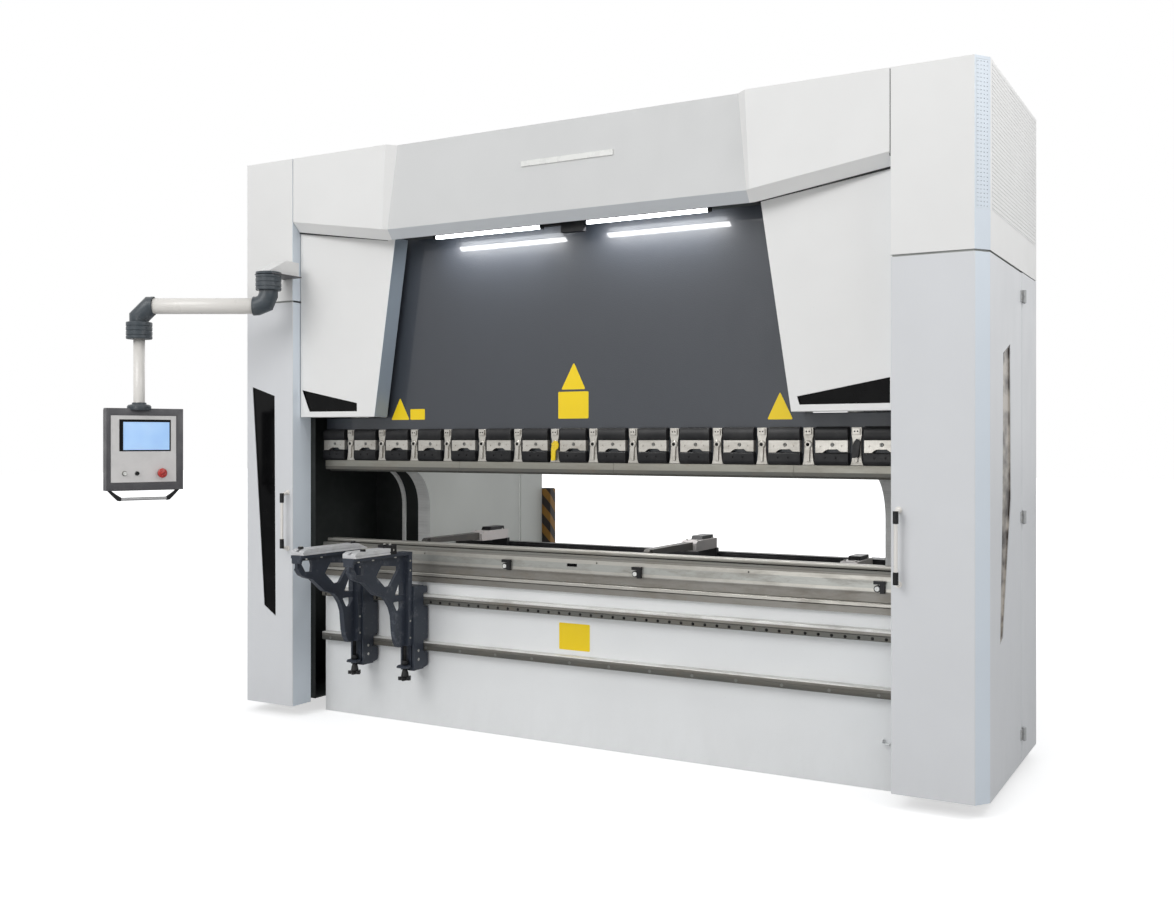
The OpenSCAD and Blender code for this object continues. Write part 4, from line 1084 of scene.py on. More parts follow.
def ram():
    shoulder, neck = 1490, 1085
    plate = Shape()
    plate.prism("y", [(RAM.x0, RAM.z0), (RAM.x1, RAM.z0), (RAM.x1, shoulder), (neck, shoulder),
                      (neck, RAM.z1), (-neck, RAM.z1), (-neck, shoulder), (RAM.x0, shoulder)],
                RAM.y0, RAM.y1)
    piece("ram_body", plate, "ram", "ram", 2.5, ["ram_plate"], 3)
    repeated("ram_rear_bolts", washer_bolt(-1340, RAM.y1, 1330), 21, (134, 0, 0), "ram",
             "screw", rows=2, row_step=(0, 0, 60), edge=1.2)


def clamps():
    low, front = CLAMP_LOW, RAM.y0
    x = -(CLAMP_COUNT // 2) * CLAMP_STEP
    step, h = (CLAMP_STEP, 0, 0), CLAMP_HALF
    upper = Shape()
    upper.prism("x", [(front, low + 102), (198, low + 102), (195, low + 106), (195, low + 143),
                      (205, low + 156), (front, low + 156)], x - h, x + h)
    repeated("clamp_upper_blocks", upper, CLAMP_COUNT, step, "ram", "black",
             edge=3, replaces=["clamp_blocks"])
    lower = Shape()
    lower.prism("x", [(front, low + 1), (205, low + 1), (197, low + 8), (195, low + 16),
                      (195, low + 46), (200, low + 51), (front, low + 51)], x - h, x + h)
    for dx in (-22, 22):
        lower.cut().pin("y", (x + dx, 190, low + 30), 199, 5)
    repeated("clamp_lower_blocks", lower, CLAMP_COUNT, step, "ram", "black",
             edge=3)
    plate = Shape()
    w = h - 2
    plate.prism("y", [(x - w, low + 101), (x - w, low + 50), (x - w + 30, low + 50),
                      (x - w + 42, low + 60), (x - 16, low + 64), (x + 20, low + 64),
                      (x + w - 46, low + 66), (x + w - 30, low + 55), (x + w, low + 54),
                      (x + w, low + 101)], 200, front)
    plate.cut().pin("y", (x + 4, 190, low + 83), 206, 8)
    plate.cut().pin("y", (x - 44, 190, low + 76), 203, 3.5)
    plate.cut().pin("y", (x + 44, 190, low + 78), 203, 3.5)
    repeated("clamp_steel_plates", plate, CLAMP_COUNT, step, "ram", "clamp_steel",
             edge=1.2, replaces=["clamp_plates"])
    screw = Shape()
    screw.pin("y", (x + 4, 205, low + 83), 198, 6.6, sides=16)
    screw.cut().pin("y", (x + 4, 202, low + 83), 190, 3.2, sides=6)
    repeated("clamp_screws", screw, CLAMP_COUNT, step, "ram", "dark_steel",
             edge=0.6)
    x += CLAMP_STEP / 2
    post = Shape()
    post.prism("y", [(x - 26, low + 1), (x + 26, low + 1), (x + 21, low + 18), (x + 17, low + 60),
                     (x + 17, low + 104), (x + 21, low + 120), (x + 21, low + 153),
                     (x - 21, low + 153), (x - 21, low + 120), (x - 17, low + 104),
                     (x - 17, low + 60), (x - 21, low + 18)], 211, front)
    post.prism("y", oblong(x - 15, low + 124, x + 15, low + 150), 204, 212)
    post.prism("y", [(x - 6, low + 14), (x + 6, low + 14), (x + 9, low + 74), (x - 9, low + 74)],
               203, 212)
    post.lathe((x, 212, low + 84), FORWARD, [(17, 0), (17, 5), (13, 9), (9, 9)], sides=20)
    repeated("clamp_posts_row", post, CLAMP_COUNT - 1, step, "ram", "clamp_steel",
             edge=1.2, replaces=["clamp_posts"])
    # Dark discs for the posts' sockets: painted shade.
    socket = Shape()
    socket.pin("y", (x, 204, low + 84), 202.6, 7.5, sides=16)
    for dx in (-6, 6):
        socket.pin("y", (x + dx, 204.6, low + 137), 203.2, 3, sides=16)
    repeated("clamp_post_sockets", socket, CLAMP_COUNT - 1, step, "ram", "painted_shade_dark")


def punch():
    """The upper tool: four lengths of ground steel with a hair gap between them."""
    tool = Shape()
    y = TOOL_Y
    outline = [(PUNCH.y0, PUNCH.z1), (PUNCH.y0, PUNCH.z0 + 26), (PUNCH.y0 + 3, PUNCH.z0 + 10),
               (y - 9, PUNCH.z0 + 9.4), (y, PUNCH.z0), (y + 9, PUNCH.z0 + 9.4),
               (PUNCH.y1, PUNCH.z0 + 34), (PUNCH.y1, PUNCH.z1)]
    start = PUNCH.x0
    for _ in range(3):
        tool.prism("x", outline, start, start + TOOL_LENGTH - HAIR_GAP)
        start += TOOL_LENGTH
    tool.prism("x", outline, start, PUNCH.x1)
    # The tip faces take the dark steel: painted shade.
    tool.tint("rail_dark", lambda c: c.z < PUNCH.z0 + 24 and abs(c.x - round(c.x)) < 2)
    piece("punch_tools", tool, "ram", "tool", 0.8, ["punch"])


def lever():
    low, x = CLAMP_LOW, -CLAMP_STEP / 2
    arm = Shape()
    arm.prism("y", [(x + 6, low + 99), (x + 22, low + 97), (x + 29, low + 84), (x + 27, low + 66),
                    (x + 14, low + 52), (x + 11, low + 10), (x - 8, low + 8), (x - 9, low + 60),
                    (x - 4, low + 86)], 191, 199.5)
    arm.pin("y", (x, 209, low + 84), 191, 6.9)
    arm.pin("y", (x + 3, 192, low + 84), 189.5, 8)
    piece("yellow_lever", arm, "clamp_lever", "yellow", 2.2, ["clamp_lever"])
    dark = Shape()
    x = 6.5 * CLAMP_STEP
    dark.prism("y", [(x - 16, low + 30), (x + 12, low + 34), (x + 20, low + 96), (x + 4, low + 108),
                     (x - 12, low + 84)], 193, 203)
    piece("dark_latch", dark, "ram", "rubber_and_painted_shade", 2.0)


def labels():
    """Bare films on the ram and the bed: nothing is printed on them."""
    front = RAM.y0
    film = Shape()
    for corners in (oblong(-90, 1476, 68, 1598),
                    [(-74, 1608), (52, 1608), (-8, 1730)],
                    [(-1052, 1478), (-940, 1478), (-997, 1586)],
                    oblong(-934, 1478, -846, 1530),
                    [(918, 1464), (1030, 1464), (974, 1578)]):
        film.prism("y", rounded_loop(corners, 5, 3), front - 0.7, front + 0.5)
    piece("ram_films", film, "ram", "label", 0.3, ["ram_labels"], 1)
    film = Shape()
    at = spot("bed_label")
    film.prism("y", rounded_loop(oblong(at.x0, at.z0, at.x1, at.z1), 5, 3), at.y0, at.y1 + 0.5)
    piece("bed_film", film, "machine", "label", 0.3, ["bed_label"], 1)


# ---------------------------------------------------------------- bed, table and lower die
def bed():
    plate = Shape()
    plate.box(BED.x0, BED.y0, BED.z0, BED.x1, BED.y1, BED.z1)
    plate.box(1407, BED.y0 - 26, 186, 1437, BED.y0 + 1, 190)
    plate.box(1407, BED.y0 - 26, 186, 1411, BED.y0 - 2, 204)
    # The bed takes its lighter copy of the white: painted light.
    piece("bed_body", plate, "machine", "bed", 3.0, ["bed_plate"], 3)
    repeated("bed_rear_bolts", washer_bolt(-1350, BED.y1, 560), 19, (150, 0, 0), "machine",
             "screw", edge=1.2)


def table():
    z0, top = TABLE.z0, TABLE.z1
    y = TOOL_Y
    block = Shape()
    step = z0 + 86
    # The lower block, lip and recess are in the darker table steel: partly its own tone, partly
    # painted shade.
    block.prism("x", [(196, z0), (196, z0 + 26), (204, z0 + 28), (204, z0 + 45), (200, z0 + 47),
                      (200, step), (304, step), (306, z0 + 12), (302, z0)], TABLE.x0, TABLE.x1,
                "table_dark")
    # The ledge is in the lighter die steel: painted highlight along its lit edge.
    block.prism("x", [(187, z0 + 31), (187, z0 + 42), (190, z0 + 45), (206, z0 + 45),
                      (206, z0 + 31)], TABLE.x0, TABLE.x1, "die")
    bands = [top - drop for drop in (79, 65, 37, 19, 10)]
    block.prism("x", [(190, step - 1)] + [(190, z) for z in bands] +
                [(190, top - 6), (194, top), (y - 7, top),
                 (y - 7, top - 17), (y + 7, top - 17), (y + 7, top), (304, top),
                 (310, top - 6), (310, step - 1)], TABLE.x0, TABLE.x1)
    # Bands on the front: the lighter die steel is painted highlight, the darker steels are painted
    # shade on the recess, the band below the top and the top face.
    block.tint("table_dark", lambda c: c.y < 200 and z0 + 50 < c.z < bands[0])
    block.tint("die", lambda c: c.y < 191 and (bands[0] < c.z < bands[1] or
                                               bands[2] < c.z < bands[3]))
    block.tint("table_dark", lambda c: c.y < 191 and bands[3] < c.z < bands[4])
    block.tint("rail_dark", lambda c: c.z > bands[4])
    for z in bands[:3]:
        block.cut().box(TABLE.x0 - 9, 180, z - 1, TABLE.x1 + 9, 190.8, z + 1)
    block.cut().box(-24, 180, top - 52, 28, 212, top - 38)
    for x in (-1180, -820, 130, 850):
        block.cut().pin("y", (x, 180, top - 30), 199, 4)
    # Dark strips in the slot and along the die's foot: painted shade.
    seat = Shape()
    seat.box(-24, 200, top - 52, 28, 213, top - 38)
    seat.box(DIE.x0 + 2, y - 30.6, top + 0.2, DIE.x1 - 2, y - 27, top + 3.5)
    piece("table_shadow_gaps", seat, "machine", "painted_shade_dark", 0)
    piece("table_body", block, "machine", "table", 1.0, ["die_holder"])
    hole = Shape()
    hole.pin("z", (TABLE.x0 + 80, 206, top + 0.4), top - 3, 4.5, sides=16)
    repeated("table_set_screws", hole, 29, (99, 0, 0), "machine", "dark_steel",
             edge=0.5)
    die = Shape()
    w, v, z1 = 30, 10, DIE.z1
    outline = [(y - 6.7, top - 16), (y + 6.7, top - 16), (y + 6.7, top), (y + w - 3, top),
               (y + w, top + 4), (y + w, z1 - 1.5), (y + w - 1.5, z1), (y + v, z1),
               (y, z1 - 1.04 * v), (y - v, z1), (y - w + 1.5, z1), (y - w, z1 - 1.5),
               (y - w, top + 4), (y - w + 3, top), (y - 6.7, top)]
    start = DIE.x0
    for length in (TOOL_LENGTH, TOOL_LENGTH, 415, TOOL_LENGTH):
        end = min(start + length - HAIR_GAP, DIE.x1)
        die.prism("x", outline, start, end)
        start += length
    piece("die_lengths", die, "machine", "die", 0.5, ["bottom_die"])


def die_clamps():
    """Hooks over the table's step, each with one socket screw."""
    z = TABLE.z1 - 38
    unit = Shape()
    white = Shape()
    for x in (-1400, -343, 334, 1400):
        unit.box(x - 22, 172, z - 10, x + 22, 190, z + 3)
        unit.box(x + 3, 175, z - 46, x + 20, 190, z - 9)
        unit.pin("y", (x - 8, 190, z - 28), 178, 14, sides=28)
        unit.cut().pin("y", (x - 8, 170, z - 28), 184, 11)
        white.pin("y", (x - 8, 185, z - 28), 174, 9.6)
        white.cut().pin("y", (x - 8, 177, z - 28), 160, 3.6, sides=6)
    piece("die_clamp_blocks", unit, "machine", "black", 1.5, ["die_clamps"])
    piece("die_clamp_screws", white, "machine", "white", 0.8)


def rails():
    upper = spot("front_rails")
    rail = Shape()
    # The rails' lower strips and middle bands are drawn in the darker steels.
    rail.prism("x", [(BED.y0, 590), (175, 590), (172, 593), (172, 611), (BED.y0, 611)],
               upper.x0, upper.x1, "rail_dark")
    rail.prism("x", [(BED.y0, 610), (174, 611), (170, 615), (170, 626), (170, 633), (173, 636),
                     (BED.y0, 636)], upper.x0, upper.x1)
    rail.prism("x", [(BED.y0, 368), (176, 368), (173, 372), (173, 390), (BED.y0, 390)], upper.x0,
               upper.x1, "rail_dark")
    rail.prism("x", [(BED.y0, 389), (174, 390), (172, 393), (172, 404), (176, 408),
                     (BED.y0, 408)], upper.x0, upper.x1)
    rail.tint("table_dark", lambda c: 389 < c.z < 404 or 611 < c.z < 626)
    piece("front_rail_bars", rail, "machine", "rail", 0.8, ["front_rails"])
    # Dark discs for the rail's holes: painted shade.
    hole = Shape()
    hole.pin("y", (-1430, 173, 601), 171.6, 6.5, sides=16)
    repeated("rail_holes", hole, 53, (55, 0, 0), "machine", "painted_shade_dark")
    screw = Shape()
    screw.pin("y", (-1400, 174, 381), 171.4, 7, sides=16)
    screw.cut().pin("y", (-1400, 172.8, 381), 160, 3.4, sides=6)
    repeated("rail_screws", screw, 15, (200, 0, 0), "machine", "dark_steel",
             edge=0.6)


# ---------------------------------------------------------------- front supports
SCREW_Y, SUPPORT_WIDE = 76, 78
SUPPORTS = (("support_a", -1120), ("support_b", -812))


def support_carriage(name, right):
    """Box carriage on the front rails, with its slot, end cap and clamping screw."""
    left, centre = right - SUPPORT_WIDE, right - SUPPORT_WIDE / 2
    box = Shape()
    box.prism("y", oblong(left, 281, right, 683), 93, 169.7)
    for low, high in ((414, 584), (285, 364)):
        box.prism("x", [(167, low), (200, low + 6), (206, low + 14), (206, high - 14),
                        (200, high - 6), (167, high)], left, right)
    box.prism("x", [(167.7, 644.3), (196, 644.3), (200, 649), (200, 672), (196, 676),
                    (167.7, 676)], left, right)
    box.cut().box(centre - 13, 80, 402, centre + 13, 106, 700)
    box.cut().box(left + 9, 84, 296, left + 16, 104, 660)
    box.cut().box(right - 16, 84, 296, right - 9, 104, 660)
    box.prism("x", [(50, 296), (97, 296), (97, 308), (58, 308), (50, 303)], centre - 30,
              centre + 30)
    box.cut().pin("z", (centre, SCREW_Y, 280), 320, 8.3)
    for z in (330, 372):
        box.pin("x", (right - 0.5, 131, z), right + 0.6, 7, "screw", 20)
    piece(name + "_carriage", box, name, "blue_grey", 1.6, [name + "_carriage"])


def support_arm(name, right):
    """Cast bracket: a thin web with four windows, rimmed below, under a flat flange."""
    centre = right - SUPPORT_WIDE / 2
    back = 92.7
    outer = [(-332, 848), (-332, 784), (-312, 757), (-278, 741), (-238, 731), (-197, 700),
             (-156, 668), (-92, 650), (-64, 628), (-38, 595), (-22, 555), (-18, 515), (-13, 468),
             (-4, 434), (16, 402), (back, 402), (back, 848)]
    web = Shape()
    web.prism("x", outer, centre - 8, centre + 8)
    holes = [[(-306, 808), (-296, 822), (-240, 820), (-232, 796), (-236, 766), (-278, 768)],
             [(-146, 750), (-108, 797), (17, 785), (17, 765), (-44, 696), (-80, 694)],
             [(-10, 650), (22, 706), (48, 706), (54, 644)],
             [(-23, 618), (54, 618), (48, 600), (28, 572), (3, 576)]]
    for hole in holes:
        web.cut().prism("x", rounded_loop(hole, 5), centre - 50, centre + 50)
    web.cut().pin("z", (centre, SCREW_Y, 380), 620, 8.6)
    low = outer[1:15]
    inward = [(y + 10, z + 8) for y, z in reversed(low)]
    web.prism("x", low + inward, centre - 14, centre + 14)
    web.prism("x", oblong(-332, 834, back, 848), centre - 32, centre + 32)
    web.prism("x", [(-332, 812), (-322, 808), (-322, 836), (-332, 836)], centre - 27, centre + 27)
    web.prism("x", [(62, 402), (back, 402), (back, 834), (66, 834)], centre - 30, centre + 30)
    web.box(centre - 12.7, back - 2, 480, centre + 12.7, 105, 660)
    for y in (-290, -190, -28):
        for dx in (-25, 25):
            web.pin("z", (centre + dx, y, 834), 828, 6, "screw", 16)
    for z in (440, 520, 760, 806):
        web.pin("x", (centre + 29.5, 78, z), centre + 31.5, 5, "screw", 16)
    piece(name + "_arm", web, name + "_arm", "blue_grey", 1.8, [name + "_arm"])


def support_bars():
    """Aluminium rests with a tee slot, a bevelled nose and, on one, a stop block."""
    start, foot, top = -324, 848.3, 877
    for (name, right), end, tail in zip(SUPPORTS, (125, -78), ([(125, 853), (60, top)],
                                                               [(-78, top)])):
        bar = Shape()
        centre = right - SUPPORT_WIDE / 2
        nose = [(start, foot), (end, foot)] + tail + [(start + 24, top), (start, 868)]
        bar.prism("x", nose, right - SUPPORT_WIDE + 1, right - 1)
        bar.cut().box(centre - 5, start - 9, 870.5, centre + 5, end + 9, 884)
        bar.cut().box(centre - 9, start - 9, 863, centre + 9, end + 9, 871)
        bar.cut().box(right - 5, start - 9, 856, right + 5, end + 9, 861)
        piece(name + "_bar", bar, name + "_arm", "rest", 1.0, [name + "_bar"])
    block = Shape()
    left, right = -889, -813
    block.box(left, -78, foot, right, -34, 891)
    block.cut().box(-857, -90, 884, -845, -30, 899)
    for x in (-835, -867):
        block.pin("z", (x, -56, 890.5), 896, 6.5, "screw", 20)
    block.pin("x", (right - 0.5, -56, 868), right + 1, 5, "screw", 16)
    piece("rest_stop_block", block, "support_b_arm", "black", 1.0)
    stops = (("support_a_arm", -1160, -300, top), ("support_a_arm", -1160, 64, top - 1),
             ("support_b_arm", -824, -262, top))
    for i, (body, x, y, z) in enumerate(stops):
        stop = Shape()
        stop.lathe((x, y, z - 0.5), UPWARD, [(13, 0), (13, 9), (9, 11)], sides=24)
        stop.pin("z", (x, y, z + 9), z + 13, 6, "screw", 6)
        piece("rest_finger_stop_%d" % i, stop, body, "black", 0.8)


def support_knobs():
    """Five-lobed star grip on a threaded height screw."""
    for name, right in SUPPORTS:
        x, y = right - SUPPORT_WIDE / 2, SCREW_Y
        grip = Shape()
        outline = []
        for i in range(60):
            angle = 2 * math.pi * i / 60
            reach = 26.5 + 6.5 * math.cos(5 * angle)
            outline.append((x + reach * math.cos(angle), y + reach * math.sin(angle)))
        grip.prism("z", outline, 238, 254)
        grip.lathe((x, y, 236), UPWARD, [(10, 0), (15, 1), (17, 17), (19, 20), (16, 36),
                                            (11, 54)], sides=24)
        grip.lathe((x, y, 308.2), UPWARD, [(14.5, 0), (16, 2), (16, 19), (14.5, 21.8)])
        thread = [(7.4, 290)]
        for i in range(54):
            z = 291 + i * 4.5
            thread += [(7.9, z + 1.2), (7.3, z + 3.4)]
        # The thread is near-black: partly the screw's dark finish, partly painted shade.
        grip.lathe((x, y, 0), UPWARD, thread, "painted_shade_dark", 16)
        piece(name + "_knob_grip", grip, name + "_knob", "black", 1.0,
              [name + "_knob"])


# ---------------------------------------------------------------- pendant
PIVOT = Vector((-IN, -165, 2028))
ARM = 627
ARM_TURN = math.radians(180 + 29.5)
AXIS = PIVOT + Vector((math.cos(ARM_TURN), math.sin(ARM_TURN), 0)) * ARM
PANEL = (Matrix.Translation((AXIS.x, AXIS.y, 1136)) @ Matrix.Rotation(math.radians(-22), 4, "Z")
         @ Matrix.Translation((0, 22, 0)))
PANEL_W, PANEL_H, PANEL_D = 184, 396, 25
ELBOW_END = 72
STOP_Y, WHITE_Y, DARK_Y, BUTTON_Z = 76, -99, -40, 82


def collar(shape, place, z0, z1):
    """Ribbed swivel collar about an upright axis."""
    wide = 61.5
    profile = [(wide - 3, z0), (wide - 0.5, z0 + 3)]
    z = z0 + 14
    while z < z1 - 14:
        profile += [(wide - 0.5, z), (wide - 3, z + 1.5), (wide - 3, z + 4), (wide - 0.5, z + 5.5)]
        z += 22
    profile += [(wide - 0.5, z1 - 3), (wide - 3, z1)]
    shape.lathe((place.x, place.y, 0), UPWARD, profile, sides=48)


def elbow(shape, place, up, towards, end, heel, steps):
    """Round elbow from an upright stub to the level tube: mitred, or bent in more steps."""
    along = Vector((math.cos(towards), math.sin(towards), 0))
    path = [place + Vector((0, 0, end * up))]
    for i in range(steps + 1):
        turn = i / steps * math.pi / 2
        path.append(place + along * heel * (1 - math.cos(turn)) +
                    Vector((0, 0, up * heel * (1 - math.sin(turn)))))
    path.append(place + along * ELBOW_END)
    shape.tube(path, 45, sides=40)


def pendant_bracket():
    bracket = Shape()
    x, y = PIVOT.x, PIVOT.y
    bracket.prism("x", [(0, 2184), (0, 2254), (-88, 2254), (y - 40, 2196), (y - 40, 2184)],
                  x - 37, x + 43)
    bracket.pin("z", (x, y, 2180), 2192, 61, "elbow", 48)
    bracket.box(x - 62, -196, 2178, x + 62, -1, 2184, "panel_frame")
    for dx in (-20, 24):
        bracket.pin("z", (x + dx, -36, 2253.5), 2258, 7, "screw", 20)
    piece("pendant_bracket_arm", bracket, "machine", "cover", 3.0,
          ["pendant_bracket"])
    upper = Shape()
    collar(upper, PIVOT, 2103, 2178)
    upper.cut().pin("z", (x, y, 2090), 2150, 30.6)
    piece("pendant_upper_collar", upper, "machine", "elbow", 0.8)


def pendant_arm():
    bend = Shape()
    elbow(bend, PIVOT, 1, ARM_TURN, 74.5, 54, 2)
    bend.rod(PIVOT + Vector((0, 0, 70)), PIVOT + Vector((0, 0, 118)), 30)
    elbow(bend, AXIS, -1, ARM_TURN - math.pi, 77.5, 54, 1)
    along = Vector((math.cos(ARM_TURN), math.sin(ARM_TURN), 0))
    for start in (ELBOW_END - 12, ARM - ELBOW_END):
        bend.rod(PIVOT + along * start, PIVOT + along * (start + 12), 46, sides=40)
    piece("pendant_arm_elbows", bend, "pendant_arm", "elbow", 1.5,
          ["pendant_elbows"])
    tube = Shape()
    tube.lathe(PIVOT, along, [(37, ELBOW_END - 1), (38.6, ELBOW_END + 1),
                                (38.6, ARM - ELBOW_END - 1), (37, ARM - ELBOW_END + 1)], sides=48)
    piece("pendant_arm_tube", tube, "pendant_arm", "tube", 0, ["pendant_tube"])


def pendant_drop():
    drop = Shape()
    drop.lathe((AXIS.x, AXIS.y, 0), UPWARD, [(26.5, 1547), (26.9, 1549), (26.9, 1872)], sides=40)
    piece("pendant_drop_tube", drop, "pendant_panel", "tube", 0, ["pendant_drop"])
    lower = Shape()
    collar(lower, AXIS, 1868, 1949.7)
    lower.lathe((AXIS.x, AXIS.y, 0), UPWARD, [(55, 1524), (56, 1526), (56, 1542), (50, 1549),
                                                (34, 1552), (33, 1560)], sides=40)
    for dx, dy in ring_of(4, 42, 45):
        lower.pin("z", (AXIS.x + dx, AXIS.y + dy, 1540), 1550, 4.5, "screw", 12)
    piece("pendant_lower_collar", lower, "pendant_panel", "elbow", 0.8)


def panel():
    """Operator panel: framed case, pale face, lit screen with a thick bezel, knobs."""
    h, w, tall = PANEL_D, PANEL_W, PANEL_H
    case = Shape()
    side = [(-h, 0), (-h + 8, 0), (h - 1, 0), (h, 2), (h, tall - 2), (h - 1, tall),
            (-h + 10, tall), (-h, tall - 8)]
    case.prism("y", side, -w, w)
    case.cut().box(h - 7, -w + 20, 38, h + 9, w - 33, tall - 34)
    for dz in range(6):
        case.cut().box(-h - 5, -90, 120 + dz * 16, -h + 3, 90, 126 + dz * 16)
    case.prism("y", [(-h + 4, -1), (h - 3, -1), (h - 5, 3), (-h + 6, 3)], -w + 30, w - 30)
    piece("panel_case", case.moved(PANEL), "pendant_panel", "panel_frame", 4.0,
          ["pendant_box"], 3)
    face = Shape()
    inner = h - 6.5
    face.box(inner - 1, -w + 21, 39, inner + 5, w - 34, tall - 35)
    face.cut().box(inner + 2, -w + 61, 189, inner + 12, w - 61, tall - 54)
    for y, r in ((STOP_Y, 12.6), (WHITE_Y, 8.6), (DARK_Y, 8.6)):
        face.cut().pin("x", (inner - 9, y, BUTTON_Z), inner + 9, r)
    piece("panel_face_plate", face.moved(PANEL), "pendant_panel", "panel_face", 0.8,
          ["pendant_face"])
    bezel = Shape()
    bezel.box(inner + 1, -w + 61, 189, inner + 6.3, w - 61, tall - 54)
    bezel.cut().box(inner + 3.5, -w + 79, 195, inner + 9, w - 67, tall - 66)
    piece("screen_bezel", bezel.moved(PANEL), "pendant_panel", "window", 1.0)
    glass = Shape()
    glass.box(inner + 3, -w + 79, 195, inner + 4.3, w - 67, tall - 66)
    piece("screen_glass", glass.moved(PANEL), "pendant_panel", "screen", 0.3)
    rings = Shape()
    for y, r in ((STOP_Y, 20), (WHITE_Y, 12.5), (DARK_Y, 11)):
        rings.lathe((inner + 4.5, y, BUTTON_Z), RIGHTWARD, [(r, 0), (r, 1), (r - 1.5, 2.2)],
                    sides=32)
        rings.cut().pin("x", (inner - 2, y, BUTTON_Z), inner + 12, 12.6 if r == 20 else 8.4)
    piece("button_rings", rings.moved(PANEL), "pendant_panel", "dark_steel", 0.4)


def handle_bar():
    grip = Shape()
    w = PANEL_W - 20
    for s in BOTH:
        grip.prism("x", [(s * (w + 8), 0), (s * (w - 8), 0), (s * (w - 30), -17),
                         (s * (w - 56), -34), (s * (w - 56), -50), (s * (w - 40), -50),
                         (s * (w - 14), -24)], -9, 9)
    bar = Shape()
    bar.pin("y", (0, -w + 46, -42), w - 46, 7.8, sides=24)
    bar.pin("y", (0, -w + 46, -42), -w + 54, 9.5, "black", 24)
    bar.pin("y", (0, w - 54, -42), w - 46, 9.5, "black", 24)
    piece("panel_handle_ends", grip.moved(PANEL), "pendant_panel", "black", 2.5,
          ["pendant_handle"], 3)
    piece("panel_handle_bar", bar.moved(PANEL), "pendant_panel", "alloy_x", 0.5)


def buttons():
    h, z = PANEL_D, BUTTON_Z
    stop = Shape()
    stop.lathe((h - 12, STOP_Y, z), RIGHTWARD, [(11.9, 0), (11.9, 20), (19, 22), (22.4, 25),
                                                (23, 28), (23, 32), (21, 35.5), (15, 37.8)],
               sides=40)
    for dy, dz in ring_of(3, 12):
        stop.cut().pin("x", (h + 24, STOP_Y + dy, z + dz), h + 30, 2.2, sides=12)
    piece("stop_mushroom", stop.moved(PANEL), "emergency_stop", "red", 0,
          ["pendant_stop"])
    for name, y, look in (("a", WHITE_Y, "white"), ("b", DARK_Y, "black")):
        cap = Shape()
        cap.lathe((h - 12, y, z), RIGHTWARD, [(7.9, 0), (7.9, 18), (9, 18.6), (9, 20.4), (8, 21),
                                              (6, 20)], sides=32)
        piece("press_button_" + name, cap.moved(PANEL), "button_" + name, look, 0,
              ["pendant_button_" + name])


# ---------------------------------------------------------------- behind the towers
REAR = FRAME.y1


def frames():
    """C-frames with near-white cut edges, partly bright steel and partly painted light, the trims of
    their throats, their feet and beams.
    """
    throat, lintel, sill, wide_bend, tight_bend = 802, 1231, 660, 206, 150
    top = FRAME.z1
    outline = [(306, 30), (REAR, 30), (REAR, top - 260), (REAR - 300, top), (390, top), (390, lintel)]
    arc = []
    for i in range(13):
        angle = math.pi / 2 - i * math.pi / 24
        arc.append((throat - wide_bend + wide_bend * math.cos(angle),
                    lintel - wide_bend + wide_bend * math.sin(angle)))
    for i in range(11):
        angle = -i * math.pi / 20
        arc.append((throat - tight_bend + tight_bend * math.cos(angle),
                    sill + tight_bend + tight_bend * math.sin(angle)))
    outline += arc + [(306, sill)]
    for side, name in SIDES:
        plate = Shape()
        plate.prism("x", outline, *sorted((side * IN_FACE, side * FRAME.x1)))
        # The throat's cut edge faces take the near-white steel: partly painted light.
        plate.tint("cut_edge_and_painted_light", lambda c: 1 < abs(c.x) - IN_FACE < 79 and
                   306 <= c.y < throat + 1 and sill - 5 < c.z < lintel + 2)
        plate.cut().pin("x", (side * IN_FACE - 90, 1440, 2180), side * IN_FACE + 90, 55, sides=40)
        for y, z in ((1470, 180), (1630, 180), (1500, 1760), (1500, 1880)):
            plate.pin("x", (side * (FRAME.x1 - 1), y, z), side * (FRAME.x1 + 4), 30, "screw")
            plate.pin("x", (side * (FRAME.x1 + 4), y, z), side * (FRAME.x1 + 20), 22, "dark_steel",
                      6)
        piece("side_frame_" + name, plate, "machine", "frame", 2.0,
              once(side, "side_frames"))
    trim = [(y, z) for y, z in arc if z > 800]
    for side, name in SIDES:
        edge = Shape()
        x0, x1 = sorted((side * (FRAME.x1 + 88), side * (FRAME.x1 + 110)))
        edge.prism("x", [(390, lintel)] + trim + [(throat, 700), (throat + 10, 700)] +
                   [(y + 10, z + 8) for y, z in reversed(trim)] + [(390, lintel + 10)], x0, x1)
        # The throat trim is in the near-white steel too: partly painted light.
        piece("throat_trim_" + name, edge, "machine", "cut_edge_and_painted_light", 1.0)
    base = Shape()
    foot_out, foot_in = 1480, 1210
    for side in BOTH:
        for y in (500, 1500):
            base.box(side * foot_in, y - 130, 0, side * foot_out, y + 130, 30)
            base.cut().pin("z", (side * 1400, y, -9), 40, 13)
            for dy in (-100, 100):
                base.prism("y", [(side * 1330, 30), (side * 1400, 30), (side * 1330, 110)],
                           y + dy - 6, y + dy + 6)
    base.box(-IN_FACE, REAR - 100, 60, IN_FACE, REAR - 20, 420)
    base.box(-IN_FACE, REAR - 420, 1700, IN_FACE, REAR - 340, 1960)
    for x in range(-900, 901, 600):
        base.cut().pin("y", (x, REAR - 120, 240), REAR, 80, sides=32)
        base.cut().pin("y", (x, REAR - 440, 1830), REAR - 330, 60, sides=32)
    piece("base_and_beams", base, "machine", "base", 2.0, ["frame_base"])


